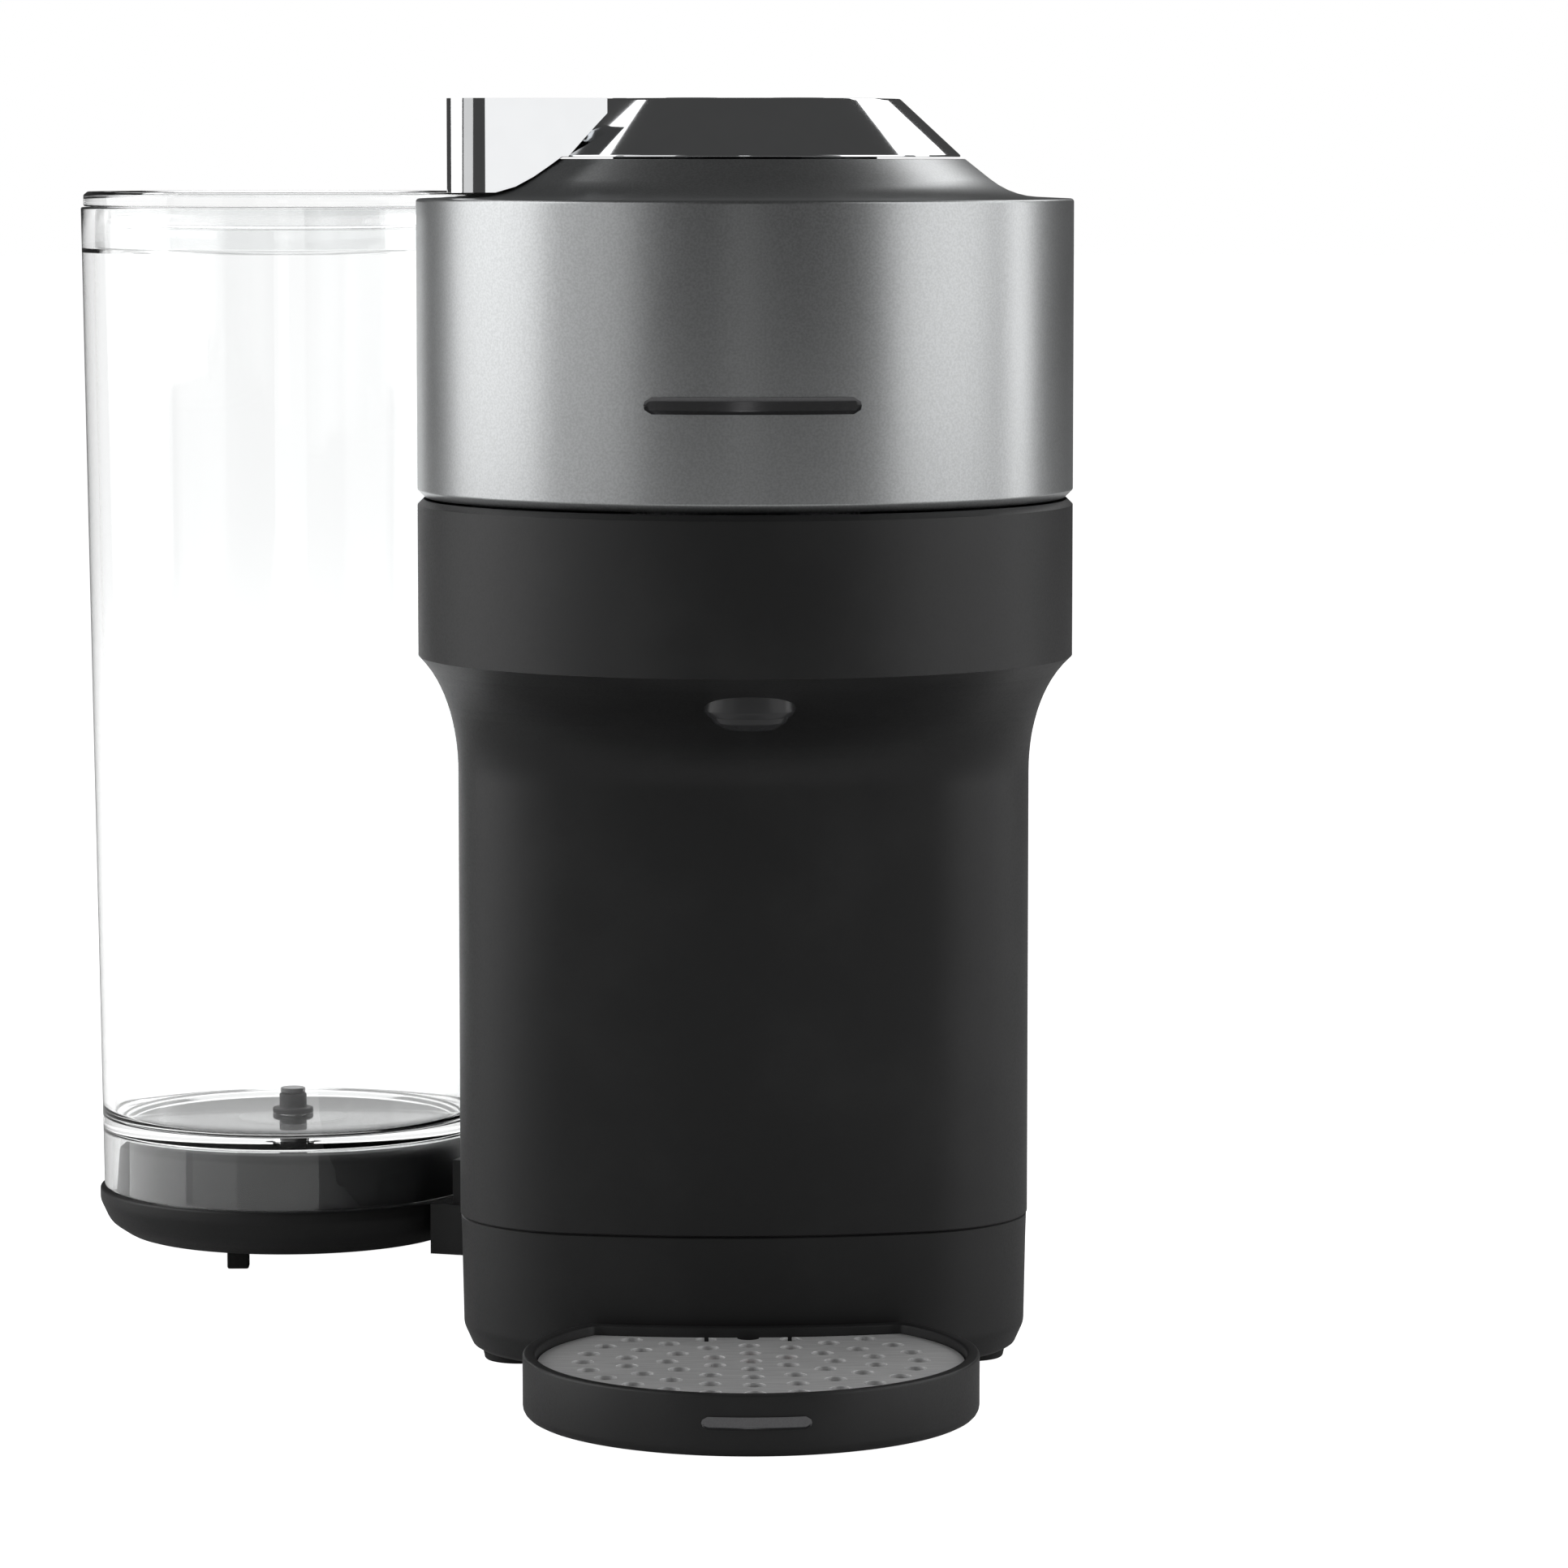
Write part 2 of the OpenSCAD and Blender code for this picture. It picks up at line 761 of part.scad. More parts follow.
module control_post() {
    color([0.1, 0.1, 0.105])
    difference() {
        union() {
            disc(post_outer_r, head_z0 + 1, disc_seat_z);
            disc(post_outer_r + 6, head_z0 + 4, head_z0 + 7);
        }
        disc(post_inner_r, head_z0, piston_z1 + 16);
        disc(post_inner_r - 3, piston_z1 + 15, disc_seat_z + 1);
    }
}

module control_disc() {
    color([0.05, 0.05, 0.055])
    difference() {
        union() {
            disc(disc_r, disc_seat_z + 0.4, disc_seat_z + 0.4 + disc_t);
            disc(post_outer_r, disc_seat_z, disc_seat_z + 0.4);
        }
        for (s = [-1, 1])
            translate([s * button_x, 0, 0]) disc(button_r + 0.3, disc_pocket_z, cap_z1 + 1);
        for (s = [-1, 1])
            translate([s * button_x, 0, 0]) disc(1.7, disc_seat_z - 1, disc_pocket_z + 1);
        translate([-lens_x, 0, 0]) disc(lens_r, disc_pocket_z, cap_z1 + 1);
    }
}

module status_lens() {
    color([0.8, 0.85, 0.8])
    translate([-lens_x, 0, 0]) disc(lens_r, disc_pocket_z, cap_z1 + 0.2);
}

module button(x) {
    top = cap_z1 + button_proud;
    translate([x, 0, 0])
    union() {
        disc(button_r, top - 2.6, top - 0.4);
        cone(button_r, button_r - 0.4, top - 0.4, top);
        disc(1.4, disc_seat_z - 1, top - 2);
    }
}

module button_short() {
    color([0.75, 0.76, 0.78]) button(-button_x);
}

module button_long() {
    color([0.75, 0.76, 0.78]) button(button_x);
}

// three coils of a light spring between the disc and a button
module button_spring(x) {
    for (i = [0:2])
        translate([x, 0, disc_pocket_z + spring_wire + i * button_coil_pitch])
        rotate_extrude() translate([button_coil_r, 0]) circle(r = spring_wire);
}

module spring_short() {
    color([0.8, 0.8, 0.8]) button_spring(-button_x);
}

module spring_long() {
    color([0.8, 0.8, 0.8]) button_spring(button_x);
}

module head_badge() {
    color([0.2, 0.2, 0.21])
    intersection() {
        tube(head_r + badge_t, head_r, badge_z - badge_h / 2, badge_z + badge_h / 2);
        block([-badge_w / 2, -80, badge_z - 20], [badge_w / 2, 0, badge_z + 20]);
    }
}

// ---------- lever ----------

module chrome_cap() {
    color([0.85, 0.86, 0.88])
    rotate_extrude()
        polygon([[cap_r - 2.4, cap_z0], [cap_r, cap_z0], [cap_r, cap_z0 + 0.4],
            [cap_top_r + 0.5, cap_z1 - 0.4], [cap_top_r, cap_z1], [disc_r + 0.5, cap_z1],
            [disc_r + 0.5, disc_seat_z], [sleeve_bore_r, disc_seat_z], [sleeve_bore_r, sleeve_z0],
            [sleeve_r, sleeve_z0], [sleeve_r, cap_web_z], [cap_r - 6, cap_web_z]]);
}

// the solid that the lever's underside clears: the shoulder, grown by the gap
module shoulder_room() {
    rotate_extrude()
        polygon(concat([[0, lever_z0 - 8], [80, lever_z0 - 8], [80, lever_z0]],
            [for (i = [4:-1:0]) [shoulder[i][0] + 0.2, shoulder[i][1] + lever_gap]],
            [[0, shoulder[0][1] + lever_gap]]));
}

module lever_blade() {
    half = lever_w / 2;
    color([0.87, 0.88, 0.9])
    difference() {
        union() {
            difference() {
                translate([0, 0, lever_z0])
                linear_extrude(height = cap_z1 - lever_z0)
                union() {
                    for (s = [-1, 1])
                        translate([-lever_reach + lever_corner, s * (half - lever_corner)])
                            circle(r = lever_corner);
                    translate([-lever_reach + lever_corner, -half])
                        square([lever_reach - lever_corner - 20, 2 * half]);
                    translate([-lever_reach, -half + lever_corner])
                        square([lever_reach - 20, 2 * (half - lever_corner)]);
                }
                cone(cap_r + 0.2, lever_root_r, cap_z0, lever_root_z);
                disc(lever_root_r, lever_root_z - eps, cap_z1 + 1);
                disc(cap_r + 0.2, lever_z0 - 1, cap_z0 + eps);
            }
            // root that ties the blade to the cap
            block([-cap_r, -lever_neck_w / 2, cap_z0 + 1.6], [-cap_top_r + 2, lever_neck_w / 2, cap_z1 - 1.6]);
        }
        cone(cap_r, cap_top_r + 0.5, cap_z0 + 0.4, cap_z1 - 0.4);
        disc(cap_r, cap_z0 - 1, cap_z0 + 0.4 + eps);
        disc(cap_top_r + 0.5, cap_z1 - 0.4 - eps, cap_z1 + 1);
        shoulder_room();
    }
}

module brew_piston() {
    color([0.12, 0.12, 0.125])
    difference() {
        disc(piston_r, piston_z0, piston_z1);
        disc(piston_r - 5, piston_z0 + 5, piston_z1 + 1);
    }
}

module spray_plate() {
    color([0.8, 0.8, 0.82])
    disc(spray_r, piston_z0 - spray_t, piston_z0);
}

// ---------- tank and arm ----------

module tank_arm() {
    color([0.05, 0.05, 0.055])
    difference() {
        union() {
            translate([0, rear_y, 0]) {
                tube(table_r, table_r - 3.4, table_z0, table_z1);
                tube(table_r - 1, post_r + run_gap, table_z1 - table_web, table_z1);
                tube(post_r + 4, post_r + run_gap, table_z0, table_z1);
                rotate([0, 0, 90 + arm_angle]) {
                    block([table_r - 6, -beam_w / 2, table_z0], [arm_length - dish_r + 3, beam_w / 2, ledge_z]);
                    block([table_r - 6, -beam_w / 2 + 3, ledge_z - eps],
                        [arm_length - dish_r - 1.4, beam_w / 2 - 3, table_z1]);
                }
            }
        }
        at_tank() disc(dish_r + 0.01, 0, ledge_z + 20);
        // bore of the turntable kept clear of the beam
        translate([0, rear_y, 0]) disc(post_r + run_gap, 0, 40);
    }
}

module tank_dish() {
    color([0.05, 0.05, 0.055])
    at_tank()
    rotate_extrude()
        polygon([[0, dish_z0], [dish_r - 7, dish_z0], [dish_r - 3, dish_z0 + 1.4], [dish_r - 0.8, dish_z0 + 4.6],
            [dish_r, dish_z0 + 8], [dish_r, dish_z1 - 0.6], [dish_r - 0.6, dish_z1],
            [plinth_r + 0.5, dish_z1], [plinth_r + 0.5, dish_z1 - 2], [0, dish_z1 - 2]]);
}

module tank_plinth() {
    color([0.07, 0.07, 0.075])
    at_tank()
    difference() {
        union() {
            disc(plinth_r, dish_z1 - 2, dish_z1);
            cone(plinth_r, plinth_r - 0.8, dish_z1, plinth_z1 - 1);
            cone(plinth_r - 0.8, plinth_r - 1.8, plinth_z1 - 1, plinth_z1);
        }
        disc(dock_r, 0, plinth_z1 + 1);
    }
}

module tank_foot() {
    color([0.15, 0.15, 0.15])
    at_tank()
    block([-14, -31, 0], [-9, -27, dish_z0]);
}

module dock_socket() {
    color([0.35, 0.35, 0.37])
    at_tank()
    difference() {
        union() {
            disc(dock_r, dish_z1 - 2, plinth_z1);
            disc(dock_r + 1, plinth_z1, plinth_z1 + 1);
        }
        disc(valve_r + 0.4, valve_stem_z - 2, plinth_z1 + 2);
    }
}

module tank_body() {
    r_floor = tank_foot_r + (tank_r - tank_foot_r) * (tank_floor_z - tank_z0) / (tank_z1 - tank_z0);
    color([0.85, 0.9, 0.92, 0.35])
    at_tank()
    rotate_extrude()
        polygon([[tank_foot_r, tank_z0], [tank_r, tank_z1], [tank_r - tank_wall - 0.6, tank_z1],
            [tank_r - tank_wall - 0.6, rim_z], [tank_r - tank_wall - 0.2, rim_z - 1],
            [r_floor - tank_wall, tank_floor_z], [valve_r + 0.1, tank_floor_z],
            [valve_r + 0.1, tank_floor_z - 2.4], [r_floor - skirt_wall - 0.6, tank_floor_z - 2.4],
            [tank_foot_r - skirt_wall, tank_z0]]);
}

// dark ring inside the top of the tank
module tank_collar() {
    color([0.2, 0.2, 0.2])
    at_tank()
    tube(tank_r - tank_wall - 0.6, tank_r - tank_wall - 3, rim_z, tank_z1);
}

module tank_valve() {
    color([0.08, 0.08, 0.08])
    at_tank()
    difference() {
        union() {
            disc(valve_flange_r, tank_floor_z, tank_floor_z + 1.2);
            disc(valve_r, valve_stem_z, valve_top_z);
        }
        disc(valve_bore_r, valve_stem_z - 1, valve_top_z - 1);
        disc(poppet_r + run_gap, valve_top_z - 2, valve_top_z + 1);
    }
}

module valve_poppet() {
    color([0.6, 0.6, 0.6])
    at_tank()
    union() {
        disc(poppet_r, valve_stem_z + 1, valve_top_z + 1.2);
        disc(poppet_head_r, valve_top_z + 0.2, valve_top_z + 1.4);
    }
}

module valve_spring() {
    color([0.8, 0.8, 0.8])
    at_tank()
    for (i = [0:spring_turns - 1])
        translate([0, 0, valve_stem_z + 4 + i * 2.2])
        rotate_extrude() translate([1.75, 0]) circle(r = spring_wire);
}

module tank_lid() {
    color([0.75, 0.8, 0.82, 0.6])
    at_tank()
    union() {
        disc(tank_r - 0.6, lid_top_z - lid_t, lid_top_z - 0.8);
        cone(tank_r - 0.6, tank_r - 1.4, lid_top_z - 0.8, lid_top_z);
        disc(tank_r - tank_wall - 3.4, tank_z1 - 5, lid_top_z - 1);
    }
}

// ---------- tray ----------

module tray_plan(r, clear) {
    difference() {
        translate([0, -tray_y]) circle(r = r);
        column_plan(clear);
    }
}

module drip_tray() {
    color([0.06, 0.06, 0.065])
    difference() {
        union() {
            translate([0, 0, tray_step_z]) linear_extrude(height = tray_z1 - tray_step_z)
                tray_plan(tray_r, tray_gap);
            translate([0, 0, tray_z0]) linear_extrude(height = tray_step_z - tray_z0)
                tray_plan(tray_r - tray_step_in, tray_gap + tray_step_in);
            for (s = [-1, 1])
                block([s * tongue_x - tongue_w / 2, -20, 5.4], [s * tongue_x + tongue_w / 2, -6, 8.6]);
        }
        translate([0, 0, tray_floor_z]) linear_extrude(height = 20)
            tray_plan(tray_r - tray_rim - tray_ledge, tray_gap + tray_rim + tray_ledge);
        translate([0, 0, ledge_top_z]) linear_extrude(height = 20)
            tray_plan(tray_r - tray_rim, tray_gap + tray_rim);
    }
}

module tray_badge() {
    color([0.12, 0.12, 0.125])
    intersection() {
        translate([0, -tray_y, 0])
            tube(tray_r + tray_badge_t, tray_r,
                tray_badge_z - tray_badge_h / 2, tray_badge_z + tray_badge_h / 2);
        block([-tray_badge_w / 2, -tray_y - tray_r - 3, 0], [tray_badge_w / 2, -tray_y, 20]);
    }
}

// perforated plate: holes on rings about the tray's centre
module drip_grid() {
    color([0.78, 0.79, 0.8])
    difference() {
        translate([0, 0, ledge_top_z + face_gap]) linear_extrude(height = grid_t)
            tray_plan(tray_r - tray_rim - gap, tray_gap + tray_rim + gap);
        for (ring = [0:4], a = [0:360 / max(6 * ring, 1):359])
            translate([grid_pitch * ring * sin(a), -tray_y - grid_pitch * ring * cos(a), 0])
                disc(grid_hole_r, ledge_top_z - 1, tray_z1 + 1);
    }
}

module tray_float() {
    color([0.7, 0.15, 0.1])
    translate([0, -tray_y, 0])
    union() {
        disc(float_r, tray_floor_z + face_gap, tray_floor_z + 2.4);
        disc(float_stem_r, tray_floor_z + 1, tray_floor_z + 2.8);
    }
}

// ---------- used-capsule bin ----------

module capsule_bin() {
    color([0.1, 0.1, 0.105])
    difference() {
        block([bin_x0, bin_y0 + 1, bin_z0], [side_x - 4, bin_y1 - 1, bin_z1 - 1]);
        block([bin_x0 + bin_wall, bin_y0 + 1 + bin_wall, bin_z0 + bin_wall],
            [side_x - 4 - bin_wall, bin_y1 - 1 - bin_wall, bin_z1 + 1]);
    }
}

module bin_front() {
    color([0.04, 0.04, 0.045])
    difference() {
        intersection() {
            column_solid(0, bin_z0, bin_z1);
            block([side_x - 4, bin_y0, bin_z0], [80, bin_y1, bin_z1]);
        }
        // finger scoop at the top edge
        translate([side_x + 4, (bin_y0 + bin_y1) / 2, bin_z1 - 4]) sphere(r = 6);
    }
}

place() base_shell();
place() base_plate();
place() base_screws();
place() feet();
place() pivot_post();
place() main_housing();
place() rear_deck();
place() chassis();
place() brew_deck();
place() brew_chamber();
place() brew_seal();
place() coffee_outlet();
place() outlet_tip();
place() capsule_chute();
place() pump();
place() pump_mounts();
place() flow_meter();
place() heater();
place() control_board();
place() feed_hose();
place() pump_hose();
place() pressure_pipe();
place() brew_pipe();
place() mains_inlet();
place() switch_frame();
place() switch_rocker();
place() hinge_pins();
place() head_shell();
place() head_floor();
place() control_post();
place() control_disc();
place() status_lens();
place() head_badge();
place() chrome_cap();
place() lever_blade();
place() brew_piston();
place() spray_plate();
place() button_short();
place() button_long();
place() spring_short();
place() spring_long();
place() tank_arm();
place() tank_dish();
place() tank_plinth();
place() tank_foot();
place() dock_socket();
place() tank_body();
place() tank_collar();
place() tank_valve();
place() valve_poppet();
place() valve_spring();
place() tank_lid();
place() drip_tray();
place() tray_badge();
place() drip_grid();
place() tray_float();
place() capsule_bin();
place() bin_front();
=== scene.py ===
"""Looks of the pod coffee machine: every visible piece and finish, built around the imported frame."""

from __future__ import annotations

import bisect
import json
import logging
import math
from dataclasses import dataclass
from enum import Enum
from functools import cached_property
from typing import Callable, Iterable, Sequence

import bmesh
import bpy
from mathutils import Matrix, Vector

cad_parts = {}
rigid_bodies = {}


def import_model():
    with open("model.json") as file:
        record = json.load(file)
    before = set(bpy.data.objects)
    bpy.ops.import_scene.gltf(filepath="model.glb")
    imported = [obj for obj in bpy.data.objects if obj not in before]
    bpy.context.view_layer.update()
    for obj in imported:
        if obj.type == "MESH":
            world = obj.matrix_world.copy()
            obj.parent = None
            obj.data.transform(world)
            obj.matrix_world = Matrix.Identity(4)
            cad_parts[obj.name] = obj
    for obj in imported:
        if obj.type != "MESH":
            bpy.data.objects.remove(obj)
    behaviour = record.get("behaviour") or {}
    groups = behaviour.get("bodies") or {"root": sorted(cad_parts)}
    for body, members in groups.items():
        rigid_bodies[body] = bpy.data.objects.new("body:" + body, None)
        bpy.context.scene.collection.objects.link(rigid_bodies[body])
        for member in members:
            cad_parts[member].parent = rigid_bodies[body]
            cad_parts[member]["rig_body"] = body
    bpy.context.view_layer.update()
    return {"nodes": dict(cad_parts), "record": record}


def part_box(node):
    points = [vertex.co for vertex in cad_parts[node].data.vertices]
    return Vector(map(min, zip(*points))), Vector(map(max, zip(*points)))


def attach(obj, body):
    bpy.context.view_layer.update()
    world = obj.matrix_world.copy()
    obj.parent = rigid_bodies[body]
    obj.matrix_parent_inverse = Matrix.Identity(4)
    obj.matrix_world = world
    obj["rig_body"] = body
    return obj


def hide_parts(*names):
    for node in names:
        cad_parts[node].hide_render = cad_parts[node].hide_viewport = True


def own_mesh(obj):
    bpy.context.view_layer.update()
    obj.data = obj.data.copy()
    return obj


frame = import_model()

MM = 0.001
LOG = logging.getLogger("coffee")
Point = tuple[float, ...]


class Slot(Enum):
    """The record's material slots."""

    SILVER = "silver"
    BLACK = "black_body"
    INNER = "black_inner"
    CHROME = "chrome"
    STEEL = "steel"
    GRID = "grid_steel"
    CLEAR = "clear"
    SMOKE = "smoke"
    RUBBER = "rubber"
    CAST = "cast"
    HOSE = "hose"
    BOARD = "board"
    BADGE = "badge"
    LENS = "lens"
    FLOAT = "float_red"
    SEAL = "seal"


# ---------- finishes ----------


class Signal:
    """A number in a material's nodes, on which + - * make Math nodes."""

    def __init__(self, paint: "Paint", socket: bpy.types.NodeSocket) -> None:
        """Keep the socket and the paint that it belongs to."""
        self.paint = paint
        self.socket = socket

    def math(self, operation: str, *others: "Signal | float") -> "Signal":
        """Make a Math node on this number.

        Args:
            operation: Blender's name of the operation.
            others: the further operands, numbers or signals.

        Returns:
            The result as a signal.
        """
        inputs = {0: self} | {i + 1: other for i, other in enumerate(others)}
        return self.paint.signal("ShaderNodeMath", inputs, operation=operation)

    def __add__(self, other: "Signal | float") -> "Signal":
        """Add."""
        return self.math("ADD", other)

    def __radd__(self, other: float) -> "Signal":
        """Add to a plain number."""
        return self.math("ADD", other)

    def __rsub__(self, other: float) -> "Signal":
        """Subtract from a plain number."""
        return self.math("MULTIPLY_ADD", -1.0, other)

    def __mul__(self, other: "Signal | float") -> "Signal":
        """Multiply."""
        return self.math("MULTIPLY", other)

    def __rmul__(self, other: float) -> "Signal":
        """Multiply a plain number."""
        return self.math("MULTIPLY", other)

    def above(self, level: float, width: float) -> "Signal":
        """Turn from 0 to 1 as the number passes a level, over a width."""
        return self.paint.signal(
            "ShaderNodeMapRange",
            {"Value": self, "From Min": level - width / 2, "From Max": level + width / 2},
            interpolation_type="SMOOTHSTEP",
        )


class Paint:
    """One material, and the nodes that it is built from."""

    def __init__(self, name: str) -> None:
        """Start an empty node tree with a Principled shader.

        Args:
            name: the material's name.
        """
        self.material = bpy.data.materials.new(name)
        self.material.use_nodes = True
        self.tree = self.material.node_tree
        self.tree.nodes.clear()
        self.shader = self.node("ShaderNodeBsdfPrincipled", {})
        output = self.node("ShaderNodeOutputMaterial", {})
        self.tree.links.new(self.shader.outputs[0], output.inputs["Surface"])
        place = self.node("ShaderNodeTexCoord", {})
        self.place = place.outputs["Object"]

    def node(self, kind: str, inputs: dict, **settings: object) -> bpy.types.Node:
        """Add a node.

        Args:
            kind: the node's type.
            inputs: input names or numbers, with a value, a socket or a signal for each.
            settings: the node's own properties.

        Returns:
            The node.
        """
        made = self.tree.nodes.new(kind)
        for key, value in settings.items():
            setattr(made, key, value)
        for key, value in inputs.items():
            if isinstance(value, Signal):
                self.tree.links.new(value.socket, made.inputs[key])
            elif isinstance(value, bpy.types.NodeSocket):
                self.tree.links.new(value, made.inputs[key])
            else:
                made.inputs[key].default_value = value
        return made

    def signal(self, kind: str, inputs: dict, **settings: object) -> Signal:
        """Add a node and take its first output as a number."""
        return Signal(self, self.node(kind, inputs, **settings).outputs[0])

    def set(self, **values: object) -> None:
        """Set or link the shader's sockets, with _ for a space in their names."""
        for key, value in values.items():
            socket = self.shader.inputs[key.replace("_", " ")]
            if isinstance(value, (Signal, bpy.types.NodeSocket)):
                source = value.socket if isinstance(value, Signal) else value
                self.tree.links.new(source, socket)
            else:
                socket.default_value = value

    def stretched(self, scale: Point) -> bpy.types.NodeSocket:
        """Object coordinates with each axis scaled, for grain that runs one way."""
        return self.node("ShaderNodeMapping", {"Vector": self.place, "Scale": scale}).outputs[0]

    def noise(self, size: float, detail: float = 3.0, place: bpy.types.NodeSocket | None = None) -> Signal:
        """Make cloudy noise.

        Args:
            size: the clouds' size in metres.
            detail: octaves of finer noise.
            place: coordinates, if not the object's own.

        Returns:
            The noise, about 0.5.
        """
        inputs = {"Vector": place or self.place, "Scale": 1 / size, "Detail": detail}
        return self.signal("ShaderNodeTexNoise", inputs)

    def cells(self, size: float) -> Signal:
        """Distance to the nearest point of a fine scatter, for grain."""
        return self.signal("ShaderNodeTexVoronoi", {"Vector": self.place, "Scale": 1 / size})

    def mix(self, share: Signal, low: Point, high: Point) -> bpy.types.NodeSocket:
        """Blend two colours by a signal."""
        made = self.node("ShaderNodeMix", {}, data_type="RGBA")
        self.tree.links.new(share.socket, made.inputs[0])
        made.inputs[6].default_value = (*low, 1.0)
        made.inputs[7].default_value = (*high, 1.0)
        return made.outputs[2]

    def relief(self, height: Signal, depth: float, strength: float = 1.0) -> None:
        """Feed a height into the shader's normal, depth in metres."""
        bump = self.node("ShaderNodeBump", {"Height": height, "Distance": depth, "Strength": strength})
        self.set(Normal=bump.outputs[0])


@dataclass(frozen=True)
class Metal:
    """A metal finish: its colour, gloss and grain."""

    name: str
    colour: Point
    roughness: float
    grain: float = 0.4 * MM
    relief: float = 0.004 * MM
    speckle: float = 0.12
    stretch: Point = (1.0, 1.0, 1.0)
    metallic: float = 1.0

    def make(self) -> bpy.types.Material:
        """Build the material."""
        paint = Paint(self.name)
        grain = paint.noise(self.grain, 2.0, paint.stretched(self.stretch))
        haze = paint.noise(38 * MM, 4.0)
        low = tuple(c * (1 - self.speckle) for c in self.colour)
        high = tuple(min(1.0, c * (1 + self.speckle)) for c in self.colour)
        paint.set(Base_Color=paint.mix(grain.above(0.5, 0.35), low, high), Metallic=self.metallic)
        paint.set(Roughness=self.roughness * (0.82 + 0.2 * grain + 0.16 * haze))
        paint.relief(grain, self.relief)
        return paint.material


@dataclass(frozen=True)
class Moulding:
    """A moulded plastic: a fine spark-eroded grain under faint wear and dust."""

    name: str
    colour: Point
    roughness: float
    grain: float = 0.55 * MM
    relief: float = 0.012 * MM
    dust: float = 0.25
    specular: float = 0.5

    def make(self) -> bpy.types.Material:
        """Build the material."""
        paint = Paint(self.name)
        pits = paint.cells(self.grain)
        cloud = paint.noise(26 * MM, 5.0)
        light = tuple(c + (0.09 - c) * self.dust * 0.5 for c in self.colour)
        paint.set(Base_Color=paint.mix(cloud.above(0.6, 0.4), self.colour, light))
        paint.set(Roughness=self.roughness * (0.8 + 0.18 * pits + 0.28 * cloud))
        paint.set(Specular_IOR_Level=self.specular)
        paint.relief(pits + 0.35 * paint.noise(self.grain * 3), self.relief)
        return paint.material


@dataclass(frozen=True)
class Clear:
    """A clear or tinted moulding that light passes through."""

    name: str
    colour: Point
    roughness: float = 0.02
    ior: float = 1.46
    transmission: float = 1.0

    def make(self) -> bpy.types.Material:
        """Build the material."""
        paint = Paint(self.name)
        film = paint.noise(30 * MM, 4.0, paint.stretched((1.0, 1.0, 0.35)))
        shade = tuple(c * 0.985 for c in self.colour)
        paint.set(Base_Color=paint.mix(film.above(0.55, 0.4), self.colour, shade))
        paint.set(Roughness=self.roughness + 0.02 * film.above(0.6, 0.25), IOR=self.ior)
        paint.set(Transmission_Weight=self.transmission)
        paint.relief(paint.noise(60 * MM, 1.0), 0.02 * MM, 0.3)
        return paint.material


@dataclass(frozen=True)
class Board:
    """Green solder mask with copper tracks and tinned pads."""

    name: str = "board"

    def make(self) -> bpy.types.Material:
        """Build the material."""
        paint = Paint(self.name)
        waves = paint.signal(
            "ShaderNodeTexWave", {"Vector": paint.place, "Scale": 90.0, "Distortion": 6.0}, wave_type="BANDS"
        )
        pads = 1.0 - paint.cells(5 * MM).above(0.18, 0.04)
        track = paint.mix(waves.above(0.7, 0.1), (0.01, 0.09, 0.03), (0.03, 0.2, 0.07))
        blend = paint.node("ShaderNodeMix", {0: pads, 6: track, 7: (0.6, 0.58, 0.5, 1.0)}, data_type="RGBA")
        paint.set(Base_Color=blend.outputs[2], Metallic=0.8 * pads, Roughness=0.5 - 0.2 * pads)
        paint.relief(waves + pads, 0.03 * MM)
        return paint.material


FINISHES = {
    Slot.SILVER: Metal("satin_silver", (0.5, 0.51, 0.515), 0.33, 0.45 * MM, 0.006 * MM, 0.08),
    Slot.BLACK: Moulding("satin_black", (0.014, 0.014, 0.0145), 0.47, relief=0.004 * MM),
    Slot.INNER: Moulding("black_inner", (0.022, 0.022, 0.023), 0.55, 0.8 * MM, 0.02 * MM),
    Slot.CHROME: Metal("chrome", (0.86, 0.87, 0.88), 0.07, 6 * MM, 0.002 * MM, 0.01),
    Slot.STEEL: Metal("steel", (0.62, 0.62, 0.63), 0.24, 0.6 * MM, 0.008 * MM, 0.1, (1.0, 1.0, 0.1)),
    Slot.GRID: Metal("tray_steel", (0.82, 0.82, 0.82), 0.5, 0.5 * MM, 0.008 * MM, 0.08, (0.06, 1.0, 1.0), 0.55),
    Slot.CLEAR: Clear("clear_acrylic", (0.985, 0.99, 0.99)),
    Slot.SMOKE: Moulding("dark_gloss", (0.045, 0.045, 0.047), 0.2, 0.5 * MM, 0.003 * MM, 0.15),
    Slot.RUBBER: Moulding("rubber", (0.018, 0.018, 0.018), 0.75, 1.1 * MM, 0.05 * MM),
    Slot.CAST: Metal("cast_alloy", (0.5, 0.5, 0.52), 0.5, 1.2 * MM, 0.06 * MM, 0.18),
    Slot.HOSE: Clear("silicone_hose", (0.82, 0.83, 0.8), 0.35, 1.41, 0.5),
    Slot.BOARD: Board(),
    Slot.BADGE: Metal("badge_metal", (0.2, 0.2, 0.205), 0.18, 0.4 * MM, 0.002 * MM, 0.06),
    Slot.LENS: Clear("status_lens", (0.75, 0.9, 0.8), 0.12),
    Slot.FLOAT: Moulding("float_red", (0.42, 0.03, 0.02), 0.38),
    Slot.SEAL: Moulding("seal_silicone", (0.45, 0.13, 0.07), 0.6, 1 * MM, 0.03 * MM),
}


class Finishes:
    """Makes each material once."""

    def __init__(self) -> None:
        """Start with nothing made."""
        self.made: dict[Slot, bpy.types.Material] = {}

    def get(self, slot: Slot) -> bpy.types.Material:
        """Return the material of a slot, making it the first time."""
        if slot not in self.made:
            self.made[slot] = FINISHES[slot].make()
        return self.made[slot]


# ---------- plans and sections ----------


